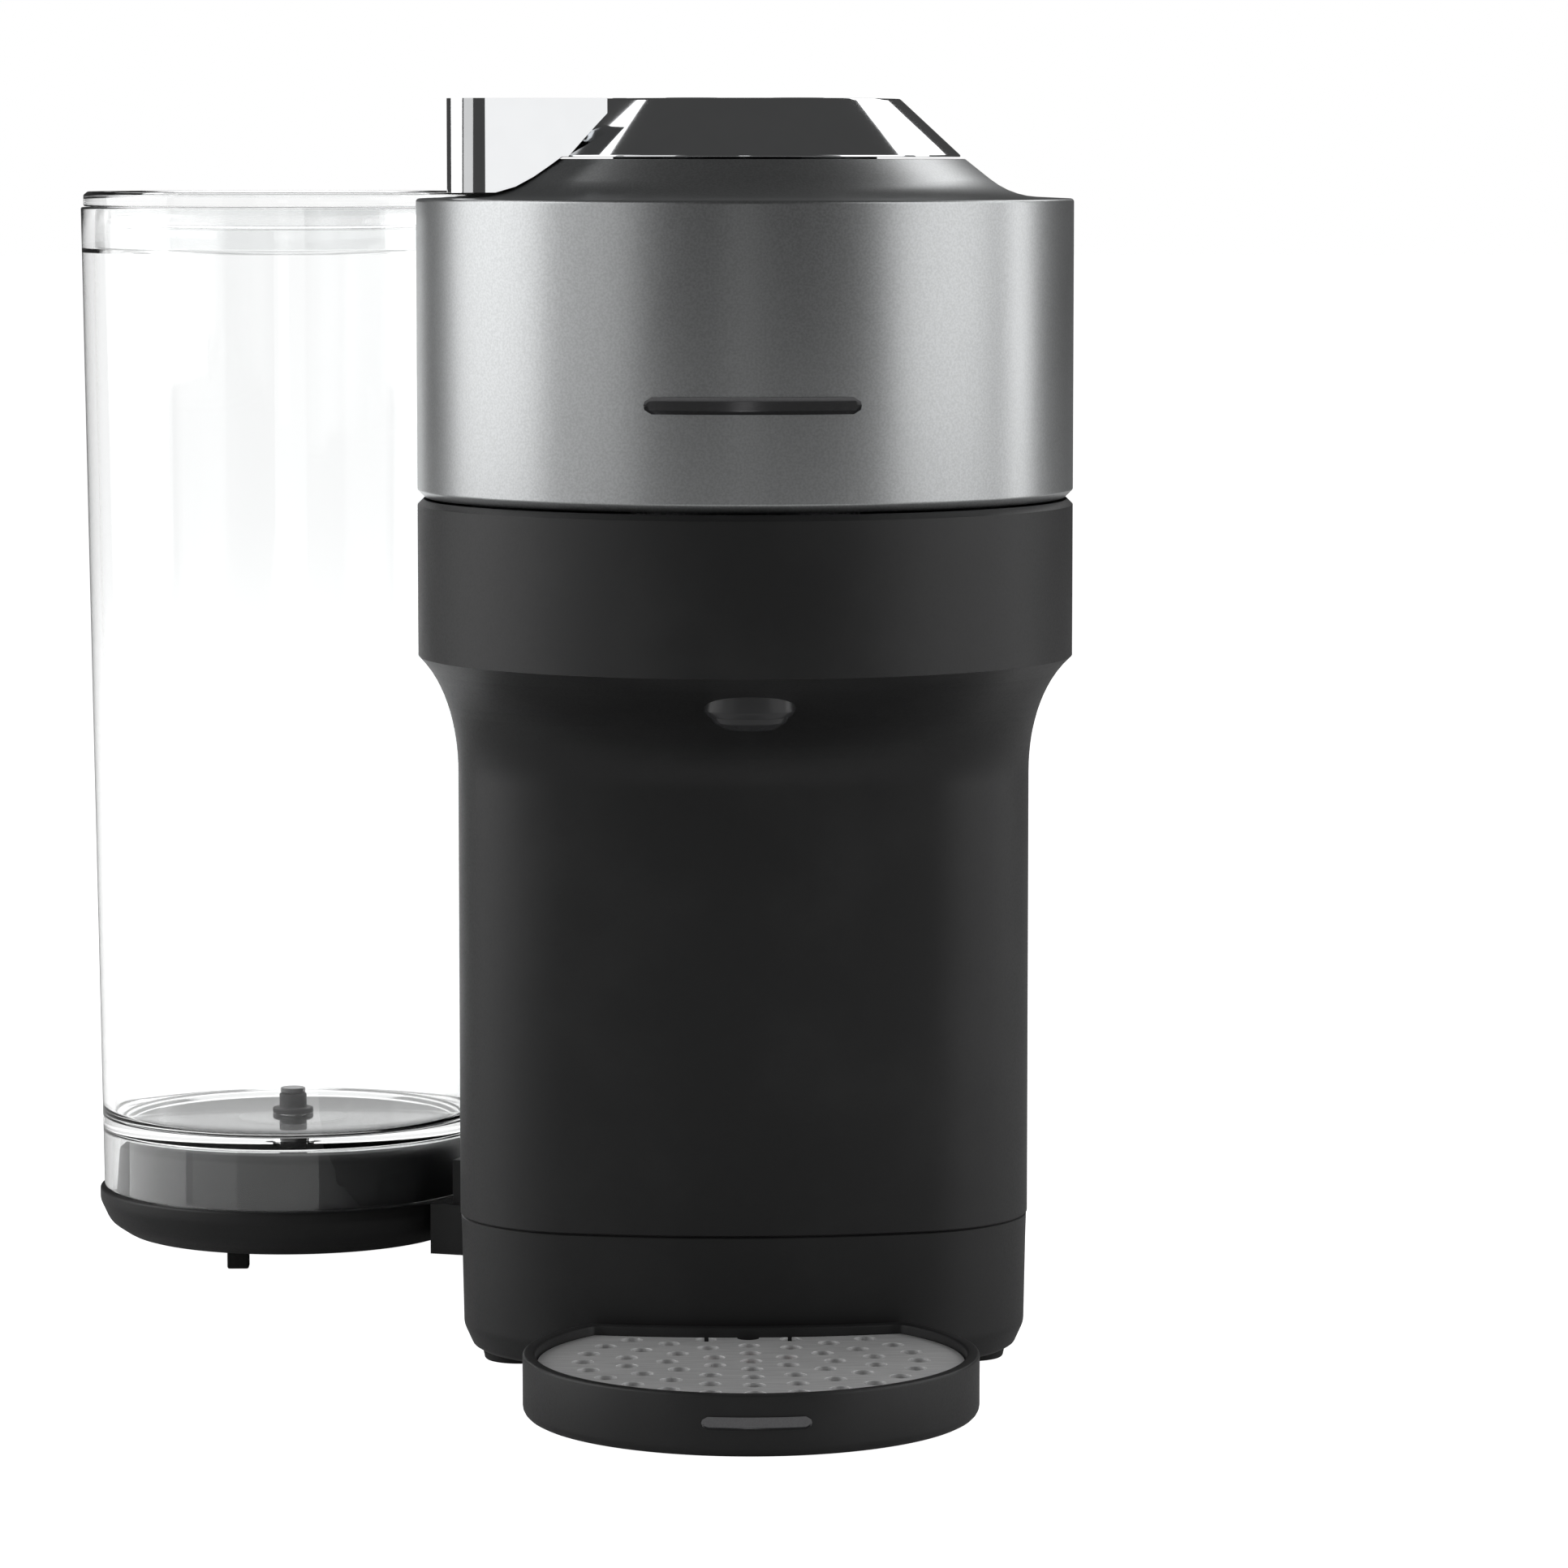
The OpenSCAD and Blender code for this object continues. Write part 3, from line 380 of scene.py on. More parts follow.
class Outline:
    """A closed outline in plan, seen from a point inside it."""

    def __init__(self, points: Iterable[Vector], origin: Vector) -> None:
        """Sort the outline's points by their direction from the origin."""
        self.origin = origin
        rays = sorted((math.atan2(p.y - origin.y, p.x - origin.x), p.x, p.y) for p in points)
        self.angles = [ray[0] for ray in rays]
        self.points = [Vector(ray[1:]) for ray in rays]

    def reach(self, angle: float) -> float:
        """Distance from the origin to the outline in a direction."""
        turn = math.atan2(math.sin(angle), math.cos(angle))
        after = bisect.bisect(self.angles, turn) % len(self.points)
        start = self.points[after - 1]
        edge = self.points[after] - start
        away = start - self.origin
        ray = Vector((math.cos(angle), math.sin(angle)))
        return (away.x * edge.y - away.y * edge.x) / (ray.x * edge.y - ray.y * edge.x)


@dataclass(frozen=True)
class ColumnPlan:
    """The column's outline in plan about the head's axis, in millimetres."""

    half_width: float = 60.6
    corner_radius: float = 30.4
    front: float = 19.0
    face_radius: float = 140.0
    rear_radius: float = 58.0
    rear_y: float = 120.0
    steps: int = 90

    def outline(self, grow: float, origin: Vector) -> Outline:
        """Make the outline from its arcs.

        Args:
            grow: how far it stands out.
            origin: the point inside that it is seen from.

        Returns:
            The outline.
        """
        corner_x = self.half_width - self.corner_radius
        face_y = self.face_radius - self.front
        corner_y = face_y - math.sqrt((self.face_radius - self.corner_radius) ** 2 - corner_x**2)
        face_turn = math.atan2(corner_x, face_y - corner_y)
        lean = math.atan2(self.rear_y - corner_y, -corner_x)
        length = math.hypot(corner_x, self.rear_y - corner_y)
        side_turn = lean - math.acos((self.corner_radius - self.rear_radius) / length) + math.pi / 2
        arcs = [
            (0.0, face_y, self.face_radius, 0.0, face_turn),
            (corner_x, corner_y, self.corner_radius, face_turn, side_turn),
            (0.0, self.rear_y, self.rear_radius, side_turn, math.pi),
        ]
        points = []
        for x, y, radius, start, end in arcs:
            for i in range(self.steps + 1):
                turn = start + (end - start) * i / self.steps
                point = Vector((x + (radius + grow) * math.sin(turn), y - (radius + grow) * math.cos(turn)))
                points += [point, Vector((-point.x, point.y))]
        return Outline(points, origin)


def filleted(corners: Sequence[Point], closed: bool = False, step: float = 12.0) -> list[Point]:
    """Round a section's corners.

    Args:
        corners: radius and height of each corner, and its fillet radius where it has one.
        closed: whether the last corner joins the first.
        step: degrees of turn between an arc's points.

    Returns:
        The section's points.
    """
    count = len(corners)
    points: list[Point] = []
    for i, corner in enumerate(corners):
        here = Vector(corner[:2])
        radius = corner[2] if len(corner) > 2 else 0.0
        if radius == 0 or (not closed and i in (0, count - 1)):
            points.append(tuple(here))
            continue
        before = (Vector(corners[i - 1][:2]) - here).normalized()
        after = (Vector(corners[(i + 1) % count][:2]) - here).normalized()
        half = before.angle(after) / 2
        middle = here + (before + after).normalized() * radius / math.sin(half)
        start = here + before * radius / math.tan(half) - middle
        end = here + after * radius / math.tan(half) - middle
        turn = start.angle_signed(end)
        arcs = max(2, round(abs(math.degrees(turn)) / step))
        for k in range(arcs + 1):
            a = -turn * k / arcs
            points.append(tuple(middle + Matrix.Rotation(a, 2) @ start))
    return points


# ---------- mesh work ----------


class Workshop:
    """Makes pieces: meshes from bmesh operators, dressed and set on their bodies."""

    def __init__(self, finishes: Finishes) -> None:
        """Keep the finishes, and the axes that pieces stand on."""
        self.finishes = finishes
        self.head = axis("chrome_cap")
        self.tank = axis("tank_body")
        self.slots = {part["node"]: Slot(part["material_slot"]) for part in frame["record"]["subparts"]}
        self.used: set[str] = set()

    def lathe(
        self, section: Sequence[Point], centre: Vector, steps: int = 144, closed: bool = True
    ) -> bmesh.types.BMesh:
        """Turn a section about an upright axis.

        Args:
            section: radius and height of each point in millimetres, outside first.
            centre: the axis, in metres.
            steps: flats round a full turn.
            closed: whether the last point joins the first.

        Returns:
            The turned mesh.
        """
        bm = bmesh.new()
        verts = [bm.verts.new((r * MM, 0.0, z * MM)) for r, z in section]
        pairs = list(zip(verts, verts[1:]))
        if closed:
            pairs.append((verts[-1], verts[0]))
        edges = [bm.edges.new(pair) for pair in pairs]
        bmesh.ops.spin(
            bm, geom=verts + edges, cent=(0, 0, 0), axis=(0, 0, 1), angle=2 * math.pi, steps=steps, use_merge=True
        )
        bmesh.ops.translate(bm, verts=bm.verts, vec=centre)
        return self.closed(bm)

    def turned(
        self, name: str, node: str, section: Sequence[Point], centre: Vector, steps: int = 192, closed: bool = True
    ) -> None:
        """Turn a section, with its corners rounded, into a piece.

        Args:
            name: the piece's name.
            node: the CAD node that it stands for.
            section: corners as filleted() takes them.
            centre: the axis, in metres.
            steps: flats round a full turn.
            closed: whether the last corner joins the first.
        """
        self.piece(name, self.lathe(filleted(section, closed=closed), centre, steps, closed), node)

    def closed(self, bm: bmesh.types.BMesh) -> bmesh.types.BMesh:
        """Merge doubles, drop empty faces, and turn the faces outwards."""
        bmesh.ops.remove_doubles(bm, verts=bm.verts, dist=0.002 * MM)
        bmesh.ops.dissolve_degenerate(bm, dist=0.001 * MM, edges=bm.edges)
        bmesh.ops.recalc_face_normals(bm, faces=bm.faces)
        return bm

    def loft(
        self, rows: Sequence[Sequence[Vector]], cap_start: bool = False, cap_end: bool = False
    ) -> bmesh.types.BMesh:
        """Draw a ring of edges through rows of points.

        Args:
            rows: closed rings of points, each with the same count, in metres.
            cap_start: close the first ring with a face.
            cap_end: close the last ring with a face.

        Returns:
            The lofted mesh.
        """
        bm = bmesh.new()
        verts = [bm.verts.new(point) for point in rows[0]]
        edges = [bm.edges.new((verts[i - 1], verts[i])) for i in range(len(verts))]
        if cap_start:
            bmesh.ops.contextual_create(bm, geom=edges)
        for row in rows[1:]:
            made = bmesh.ops.extrude_edge_only(bm, edges=edges)["geom"]
            fresh = {item for item in made if isinstance(item, bmesh.types.BMVert)}
            edges = [e for e in made if isinstance(e, bmesh.types.BMEdge) and set(e.verts) <= fresh]
            verts = [next(e.other_vert(v) for e in v.link_edges if e.other_vert(v) in fresh) for v in verts]
            for vert, point in zip(verts, row):
                vert.co = point
        if cap_end:
            bmesh.ops.contextual_create(bm, geom=edges)
        return self.closed(bm)

    def copy(self, *nodes: str) -> bmesh.types.BMesh:
        """Copy CAD nodes' meshes, merged, with their flat faces made whole.

        Args:
            nodes: the CAD nodes' names.

        Returns:
            One mesh of them all.
        """
        bm = bmesh.new()
        for node in nodes:
            bm.from_mesh(frame["nodes"][node].data)
        bmesh.ops.remove_doubles(bm, verts=bm.verts, dist=0.002 * MM)
        bmesh.ops.dissolve_limit(bm, angle_limit=math.radians(0.6), verts=bm.verts, edges=bm.edges)
        return bm

    def coil(self, node: str, radius: float, wire: float, turns: int) -> None:
        """Wind a coil spring in the place of a CAD node.

        Args:
            node: the CAD node that it stands for.
            radius: of the coil, in millimetres.
            wire: the wire's radius, in millimetres.
            turns: number of turns.
        """
        low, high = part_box(node)
        middle = (low + high) / 2
        start = Vector((middle.x + radius * MM, middle.y, low.z + wire * MM))
        turn = Matrix.Translation(start) @ Matrix.Rotation(math.pi / 2, 4, "X")
        steps = 22 * turns
        rise = (high.z - low.z - 2 * wire * MM) / steps
        bm = bmesh.new()
        bmesh.ops.create_circle(bm, cap_ends=False, segments=10, radius=wire * MM, matrix=turn)
        loop = bm.verts[:] + bm.edges[:]
        full = 2 * math.pi * turns
        bmesh.ops.spin(bm, geom=loop, cent=middle, axis=(0, 0, 1), dvec=(0, 0, rise), angle=full, steps=steps)
        bmesh.ops.holes_fill(bm, edges=[e for e in bm.edges if e.is_boundary], sides=0)
        spring = self.piece(f"{node}_coil", self.closed(bm), node)
        for joint in frame["record"]["behaviour"]["joints"]:
            for bent in joint.get("deforming_nodes", []):
                if bent["node"] == node:
                    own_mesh(spring)

    def piece(
        self,
        name: str,
        bm: bmesh.types.BMesh,
        node: str,
        replaced: Sequence[str] = (),
        bevel: float = 0.0,
        wall: float = 0.0,
        sharp: float = 32.0,
    ) -> bpy.types.Object:
        """Make an object of a mesh, dress it, and set it on its body.

        Args:
            name: the piece's name.
            bm: its mesh, which is used up.
            node: the CAD node whose body and finish it takes.
            replaced: the CAD nodes that it stands for, or else the node above.
            bevel: width of the rounded edges in millimetres.
            wall: thickness that an open shell gets inwards, in millimetres.
            sharp: degrees past which an edge is rounded or stays sharp.

        Returns:
            The piece.
        """
        slot = self.slots[node]
        mesh = bpy.data.meshes.new(name)
        bm.to_mesh(mesh)
        bm.free()
        mesh.shade_smooth()
        mesh.set_sharp_from_angle(angle=math.radians(sharp))
        obj = bpy.data.objects.new(name, mesh)
        bpy.context.scene.collection.objects.link(obj)
        mesh.materials.append(self.finishes.get(slot))
        if wall:
            solid = obj.modifiers.new("Wall", "SOLIDIFY")
            solid.thickness = wall * MM
            solid.offset = -1
            solid.use_even_offset = True
        if bevel:
            edge = obj.modifiers.new("Edges", "BEVEL")
            edge.width = bevel * MM
            edge.segments = 3
            edge.limit_method = "ANGLE"
            edge.angle_limit = math.radians(sharp)
            edge.use_clamp_overlap = True
            if not wall:
                even = obj.modifiers.new("Shading", "WEIGHTED_NORMAL")
                even.mode = "FACE_AREA"
                even.keep_sharp = True
        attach(obj, frame["nodes"][node]["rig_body"])
        nodes = tuple(replaced) or (node,)
        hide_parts(*nodes)
        self.used.update(nodes)
        LOG.info("%s: %s, for %s", name, slot.value, ", ".join(nodes))
        return obj

    def soften(self, node: str, bevel: float = 0.3, sharp: float = 32.0) -> bpy.types.Object:
        """Make a piece of a CAD node's own shape, with its edges rounded.

        Args:
            node: the CAD node.
            bevel: width of the rounded edges in millimetres.
            sharp: degrees past which an edge is rounded.

        Returns:
            The piece.
        """
        return self.piece(f"{node}_body", self.copy(node), node, bevel=bevel, sharp=sharp)


def axis(node: str) -> Vector:
    """The upright axis through the middle of a CAD node's box."""
    low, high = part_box(node)
    return Vector(((low.x + high.x) / 2, (low.y + high.y) / 2, 0.0))


def span(node: str) -> tuple[float, float]:
    """Lowest and highest height of a CAD node, in millimetres."""
    low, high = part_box(node)
    return low.z / MM, high.z / MM


# ---------- sub-assemblies ----------


@dataclass
class Head:
    """The silver drum with its shoulder, its floor and its hinge arms."""

    shop: Workshop
    radius: float = 68.5
    wall: float = 2.2
    deck: float = 61.9
    mouth: float = 45.8
    chamfer: float = 1.6

    def build(self) -> None:
        """Build the shell, the floor and the badge."""
        self.shell()
        self.badge()
        self.shop.soften("head_floor", 0.4)
        self.shop.soften("control_post", 0.4)

    def shell(self) -> None:
        """Turn the drum, and join its two hinge arms to it."""
        low, high = span("head_shell")
        deck = low + self.deck
        sleeve = (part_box("chrome_cap")[1].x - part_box("chrome_cap")[0].x) / 2 / MM - 17.2
        outer = [
            (self.radius - self.wall, low),
            (self.radius - self.chamfer, low, 0.2),
            (self.radius, low + self.chamfer, 0.5),
            (self.radius, deck, 0.7),
            (55.4, deck + 0.6, 17.0),
            (self.mouth, high, 0.4),
        ]
        inner = [
            (sleeve, high, 0.2),
            (sleeve, high - 4),
            (self.mouth - 1.5, high - 3.0),
            (54.0, deck - self.wall, 8.0),
            (self.radius - self.wall, deck - self.wall, 2.0),
        ]
        bm = self.shop.lathe(filleted(outer + inner, closed=True, step=7), self.shop.head, 192)
        self.arms(bm)
        self.shop.piece("head_drum", bm, "head_shell")

    def arms(self, bm: bmesh.types.BMesh) -> None:
        """Add the hinge arms from the back of the drum to its pins."""
        low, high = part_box("hinge_pins")
        pin = (low + high) / 2
        knuckle, width, reach = 5.4 * MM, 8 * MM, 17 * MM
        for side in (-1, 1):
            centre = Vector((self.shop.head.x + side * reach, pin.y, pin.z))
            turn = Matrix.Translation(centre) @ Matrix.Rotation(math.pi / 2, 4, "Y")
            made = bmesh.ops.create_cone(
                bm, cap_ends=True, segments=48, radius1=knuckle, radius2=knuckle, depth=width, matrix=turn
            )["verts"]
            depth = pin.y - self.shop.head.y - (self.radius - 5) * MM
            middle = Matrix.Translation(centre - Vector((0, depth / 2, 0)))
            size = Matrix.Diagonal((width, depth, 2 * knuckle, 1))
            made += bmesh.ops.create_cube(bm, size=1.0, matrix=middle @ size)["verts"]
            edges = {e for v in made for e in v.link_edges if e.calc_face_angle(0.0) > 0.6}
            bmesh.ops.bevel(
                bm, geom=list(edges), offset=0.4 * MM, affect="EDGES", segments=2, profile=0.5, material=-1
            )

    def badge(self) -> None:
        """Lay a slim blank plate round the front of the drum."""
        low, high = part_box("head_badge")
        size = Vector((high.x - low.x, 3.4 * MM))
        plate = NamePlate(self.shop, size, self.radius, self.shop.head, (low.z + high.z) / 2)
        plate.build("head_badge_plate", "head_badge")


@dataclass
class NamePlate:
    """A blank plate with round ends, bent round a drum."""

    shop: Workshop
    size: Vector
    radius: float
    centre: Vector
    height: float
    thickness: float = 0.45

    def build(self, name: str, node: str) -> None:
        """Build the plate.

        Args:
            name: the piece's name.
            node: the CAD node that it stands for.
        """
        bm = bmesh.new()
        bmesh.ops.create_grid(bm, x_segments=44, y_segments=4, size=0.5)
        bmesh.ops.scale(bm, verts=bm.verts, vec=(self.size.x, self.size.y, 1))
        self.rounded_ends(bm)
        made = bmesh.ops.extrude_face_region(bm, geom=list(bm.faces))["geom"]
        lifted = [item for item in made if isinstance(item, bmesh.types.BMVert)]
        bmesh.ops.translate(bm, verts=lifted, vec=(0, 0, self.thickness * MM))
        border = [f for f in bm.faces if f.normal.z > 0.9 and f.calc_center_median().z > 0]
        bmesh.ops.inset_region(bm, faces=border, thickness=0.35 * MM, depth=-0.12 * MM)
        for vert in bm.verts:
            reach = self.radius * MM + vert.co.z - 0.05 * MM
            turn = vert.co.x / (self.radius * MM)
            flat = Vector((reach * math.sin(turn), -reach * math.cos(turn)))
            vert.co = Vector((self.centre.x + flat.x, self.centre.y + flat.y, self.height + vert.co.y))
        self.shop.piece(name, self.shop.closed(bm), node, sharp=40)

    def rounded_ends(self, bm: bmesh.types.BMesh) -> None:
        """Draw the plate's ends in to half circles."""
        half, end = self.size.x / 2, self.size.y / 2
        for vert in bm.verts:
            share = vert.co.y / end
            pull = end * (1 - math.sqrt(max(0.0, 1 - share * share)))
            vert.co.x *= (half - pull) / half


@dataclass
class LeverSet:
    """The chrome cap, the lever blade, the control disc, the buttons and the piston."""

    shop: Workshop
    rim: float = 44.8
    top: float = 32.2
    disc: float = 29.0
    button: float = 6.0
    button_x: float = 11.0
    coil: float = 2.6
    wire: float = 0.35
    turns: int = 3

    def build(self) -> None:
        """Build every piece of the set."""
        self.cap()
        self.shop.soften("lever_blade", 0.7, 40)
        self.controls()
        self.shop.soften("brew_piston", 0.5)
        self.shop.soften("spray_plate", 0.25)
        for name in ("spring_short", "spring_long"):
            self.shop.coil(name, self.coil, self.wire, self.turns)

    def cap(self) -> None:
        """Turn the cap with its sleeve."""
        low, high = span("chrome_cap")
        rim = high - 12.0
        seat = high - 6.8
        web = rim + 2.6
        section = [
            (self.rim - 2.4, rim, 0.2),
            (self.rim, rim, 0.15),
            (self.rim, rim + 0.4, 0.15),
            (self.top + 0.5, high - 0.4, 0.3),
            (self.top, high, 0.3),
            (self.disc + 0.5, high, 0.3),
            (self.disc + 0.5, seat),
            (24.5, seat),
            (24.5, low),
            (27.5, low),
            (27.5, web, 0.5),
            (self.rim - 6, web, 0.5),
        ]
        self.shop.turned("chrome_cap_ring", "chrome_cap", section, self.shop.head, 240)

    def controls(self) -> None:
        """Soften the disc and the lens, and turn the two buttons."""
        self.shop.soften("control_disc", 0.35)
        self.shop.soften("status_lens", 0.2)
        for side, node in ((-1, "button_short"), (1, "button_long")):
            low, high = span(node)
            section = [
                (0.0, high - 0.45),
                (self.button - 1.6, high - 0.4, 0.8),
                (self.button - 0.9, high, 0.5),
                (self.button, high - 0.1, 0.3),
                (self.button, high - 2.6, 0.2),
                (1.4, high - 2.6),
                (1.4, low, 0.3),
                (0.0, low),
            ]
            centre = self.shop.head + Vector((side * self.button_x * MM, 0, 0))
            self.shop.turned(f"{node}_key", node, section, centre, 64, closed=False)


@dataclass(frozen=True)
class Hole:
    """A rectangular opening in the column: a side or the back, its width and its heights."""

    across: tuple[float, float]
    heights: tuple[float, float]
    back: bool = False


@dataclass
class Column:
    """The column, its trumpet-shaped neck and the ring under the head, as one moulding."""

    shop: Workshop
    plan: ColumnPlan
    wall: float = 2.5
    neck_z: float = 126.0
    neck_radius: float = 40.0
    ring_height: float = 32.7
    chamfer: float = 1.2
    seam: float = 0.35
    middle: float = 60.0
    columns: int = 288
    neck_rows: int = 14

    def holes(self) -> list[Hole]:
        """List the openings for the bin, the switch, the cord gland and the vents."""
        holes = []
        for node, trim in (("bin_front", -0.4), ("switch_frame", 1.6), ("mains_inlet", 2.6)):
            low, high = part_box(node)
            across = tuple(y / MM - self.shop.head.y / MM for y in (low.y, high.y))
            holes.append(Hole((across[0] + trim, across[1] - trim), (low.z / MM + trim, high.z / MM - trim)))
        holes += [Hole((-24.0, 24.0), (z, z + 2.4), back=True) for z in range(132, 168, 7)]
        return holes

    def build(self) -> None:
        """Build the moulding and the rear deck with its hinge pins."""
        self.moulding()
        self.shop.soften("rear_deck", 0.6)
        self.shop.soften("hinge_pins", 0.4)

    def angles(self, body: Outline, holes: Sequence[Hole]) -> list[float]:
        """Directions of the loft's columns, with one at each opening's edge."""
        turns = {2 * math.pi * i / self.columns - math.pi for i in range(self.columns)}
        for hole in holes:
            for edge in hole.across:
                turns.add(self.toward(body, edge, hole.back))
        ordered = sorted(turns)
        apart = math.radians(0.12)
        fixed = {self.toward(body, e, h.back) for h in holes for e in h.across}
        return [t for t in ordered if t in fixed or all(abs(t - f) > apart for f in fixed)]

    def toward(self, body: Outline, edge: float, back: bool) -> float:
        """Direction from the middle to an opening's edge, found by halving."""
        low, high = (math.radians(20), math.radians(160)) if back else (-math.pi / 3, math.pi / 3)
        for _ in range(40):
            turn = (low + high) / 2
            reach = body.reach(turn)
            value = -reach * math.cos(turn) if back else self.middle + reach * math.sin(turn)
            low, high = (turn, high) if value < edge else (low, turn)
        return (low + high) / 2

    def drum(self, turn: float, radius: float) -> float:
        """Distance from the middle to the head's circle in a direction."""
        along = -self.middle * math.sin(turn)
        return along + math.sqrt(along * along + radius**2 - self.middle**2)

    def moulding(self) -> None:
        """Loft the moulding, open its holes and give it a wall."""
        low, high = span("main_housing")
        origin = Vector((0.0, self.middle))
        body = self.plan.outline(0.0, origin)
        inset = self.plan.outline(-self.seam, origin)
        holes = self.holes()
        turns = self.angles(body, holes)
        head = (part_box("head_shell")[1].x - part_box("head_shell")[0].x) / 2 / MM
        ring_z0 = high - self.ring_height
        rise = ring_z0 - self.neck_z
        full = self.neck_radius - math.sqrt(self.neck_radius**2 - rise**2)
        levels: list[tuple[float, Callable[[float], float]]] = [
            (low, inset.reach),
            (low + self.seam, body.reach),
        ]
        cuts = {z for hole in holes for z in hole.heights if z < self.neck_z}
        levels += [(z, body.reach) for z in sorted(cuts | {self.neck_z - 1})]

        def ring(turn: float) -> float:
            """Distance to the ring under the head in a direction."""
            return max(body.reach(turn), self.drum(turn, head))

        upper = sorted({round(z, 3) for hole in holes for z in hole.heights if z > self.neck_z})
        neck = {round(self.neck_z + rise * i / self.neck_rows, 3) for i in range(self.neck_rows + 1)}
        for z in sorted(neck | {z for z in upper if z < ring_z0}):
            share = (self.neck_radius - math.sqrt(self.neck_radius**2 - (z - self.neck_z) ** 2)) / full
            levels.append((z, lambda t, s=min(1.0, share): body.reach(t) + (ring(t) - body.reach(t)) * s))
        levels += [(z, ring) for z in upper if z > ring_z0 + 0.1]
        levels += [(high - self.chamfer, ring)]
        levels += [(high, lambda turn: max(body.reach(turn) - self.chamfer, self.drum(turn, head - self.chamfer)))]
        rows = []
        for z, reach in levels:
            row = []
            for turn in turns:
                r = reach(turn)
                x, y = r * math.cos(turn), self.middle + r * math.sin(turn)
                row.append(self.shop.head + Vector((x, y, z)) * MM)
            rows.append(row)
        bm = self.shop.loft(rows)
        self.open_holes(bm, holes)
        self.shop.piece("column_moulding", bm, "main_housing", wall=self.wall, bevel=0.3, sharp=28)

    def open_holes(self, bm: bmesh.types.BMesh, holes: Sequence[Hole]) -> None:
        """Delete the faces inside each opening."""
        doomed = []
        for face in bm.faces:
            middle = (face.calc_center_median() - self.shop.head) / MM
            for hole in holes:
                across = middle.x if hole.back else middle.y
                beside = middle.y > self.plan.rear_y if hole.back else middle.x > 0
                inside = hole.across[0] < across < hole.across[1]
                if beside and inside and hole.heights[0] < middle.z < hole.heights[1]:
                    doomed.append(face)
                    break
        bmesh.ops.delete(bm, geom=doomed, context="FACES")


@dataclass
class Base:
    """The base under the seam, its plate, screws and feet."""

    shop: Workshop
    plan: ColumnPlan
    wall: float = 4.8
    middle: float = 60.0
    columns: int = 288
    swing_y: float = 104.0
    pocket_z: float = 26.2

    def build(self) -> None:
        """Build the shell and soften what is under it."""
        self.shell()
        self.shop.soften("base_plate", 0.3)
        self.shop.soften("base_screws", 0.25)
        self.shop.soften("feet", 0.5)
        self.shop.soften("pivot_post", 0.4)

    def shell(self) -> None:
        """Loft the shell, with the room for the arm left open at its back."""
        low, high = span("base_shell")
        corners = [(-0.55, high), (-0.2, high - 0.35), (-0.7, low + 5.0, 4.5), (-2.6, low + 0.8, 1.2), (-4.0, low)]
        section = filleted(corners, step=8)
        above = [item for item in section if item[1] > self.pocket_z]
        below = [item for item in section if item[1] <= self.pocket_z]
        rows_at = above + [(-0.35, self.pocket_z)] + below
        origin = Vector((0.0, self.middle))
        side = self.plan.outline(0.0, origin)
        edge = self.edge_turn(side)
        even = {2 * math.pi * i / self.columns - math.pi for i in range(self.columns)}
        turns = sorted(even | {edge, math.pi - edge})
        rows = []
        for grow, z in rows_at:
            line = self.plan.outline(grow, origin)
            row = []
            for turn in turns:
                r = line.reach(turn)
                x, y = r * math.cos(turn), self.middle + r * math.sin(turn)
                row.append(self.shop.head + Vector((x, y, z)) * MM)
            rows.append(row)
        bm = self.shop.loft(rows)
        rear = [
            f
            for f in bm.faces
            if (f.calc_center_median().y - self.shop.head.y) / MM > self.swing_y
            and f.calc_center_median().z / MM < self.pocket_z
        ]
        bmesh.ops.delete(bm, geom=rear, context="FACES")
        self.shop.piece("base_moulding", bm, "base_shell", wall=self.wall, bevel=0.3, sharp=34)

    def edge_turn(self, side: Outline) -> float:
        """Direction from the middle to the edge of the room for the arm."""
        low, high = 0.0, math.pi / 2
        for _ in range(40):
            turn = (low + high) / 2
            short = self.middle + side.reach(turn) * math.sin(turn) < self.swing_y
            low, high = (turn, high) if short else (low, turn)
        return (low + high) / 2


@dataclass
class Outlet:
    """The coffee outlet under the head and its rounded tip."""

    shop: Workshop
    radius: float = 9.4
    bore: float = 3.0

    def build(self) -> None:
        """Build the outlet and its tip."""
        centre = axis("coffee_outlet")
        z0, z1 = span("coffee_outlet")
        section = [
            (self.bore, z0),
            (self.radius - 0.9, z0, 0.3),
            (self.radius, z0 + 1.2, 0.6),
            (self.radius, z1),
            (self.bore, z1),
        ]
        self.shop.turned("coffee_outlet_spout", "coffee_outlet", section, centre, 96)
        z0, z1 = span("outlet_tip")
        section = [
            (1.6, z0, 0.2),
            (5.2, z0, 1.0),
            (7.4, z0 + 1.4, 0.8),
            (8.0, z0 + 2.6),
            (2.9, z0 + 2.6),
            (2.9, z1),
            (1.6, z1),
        ]
        self.shop.turned("outlet_tip_nose", "outlet_tip", section, centre, 96)


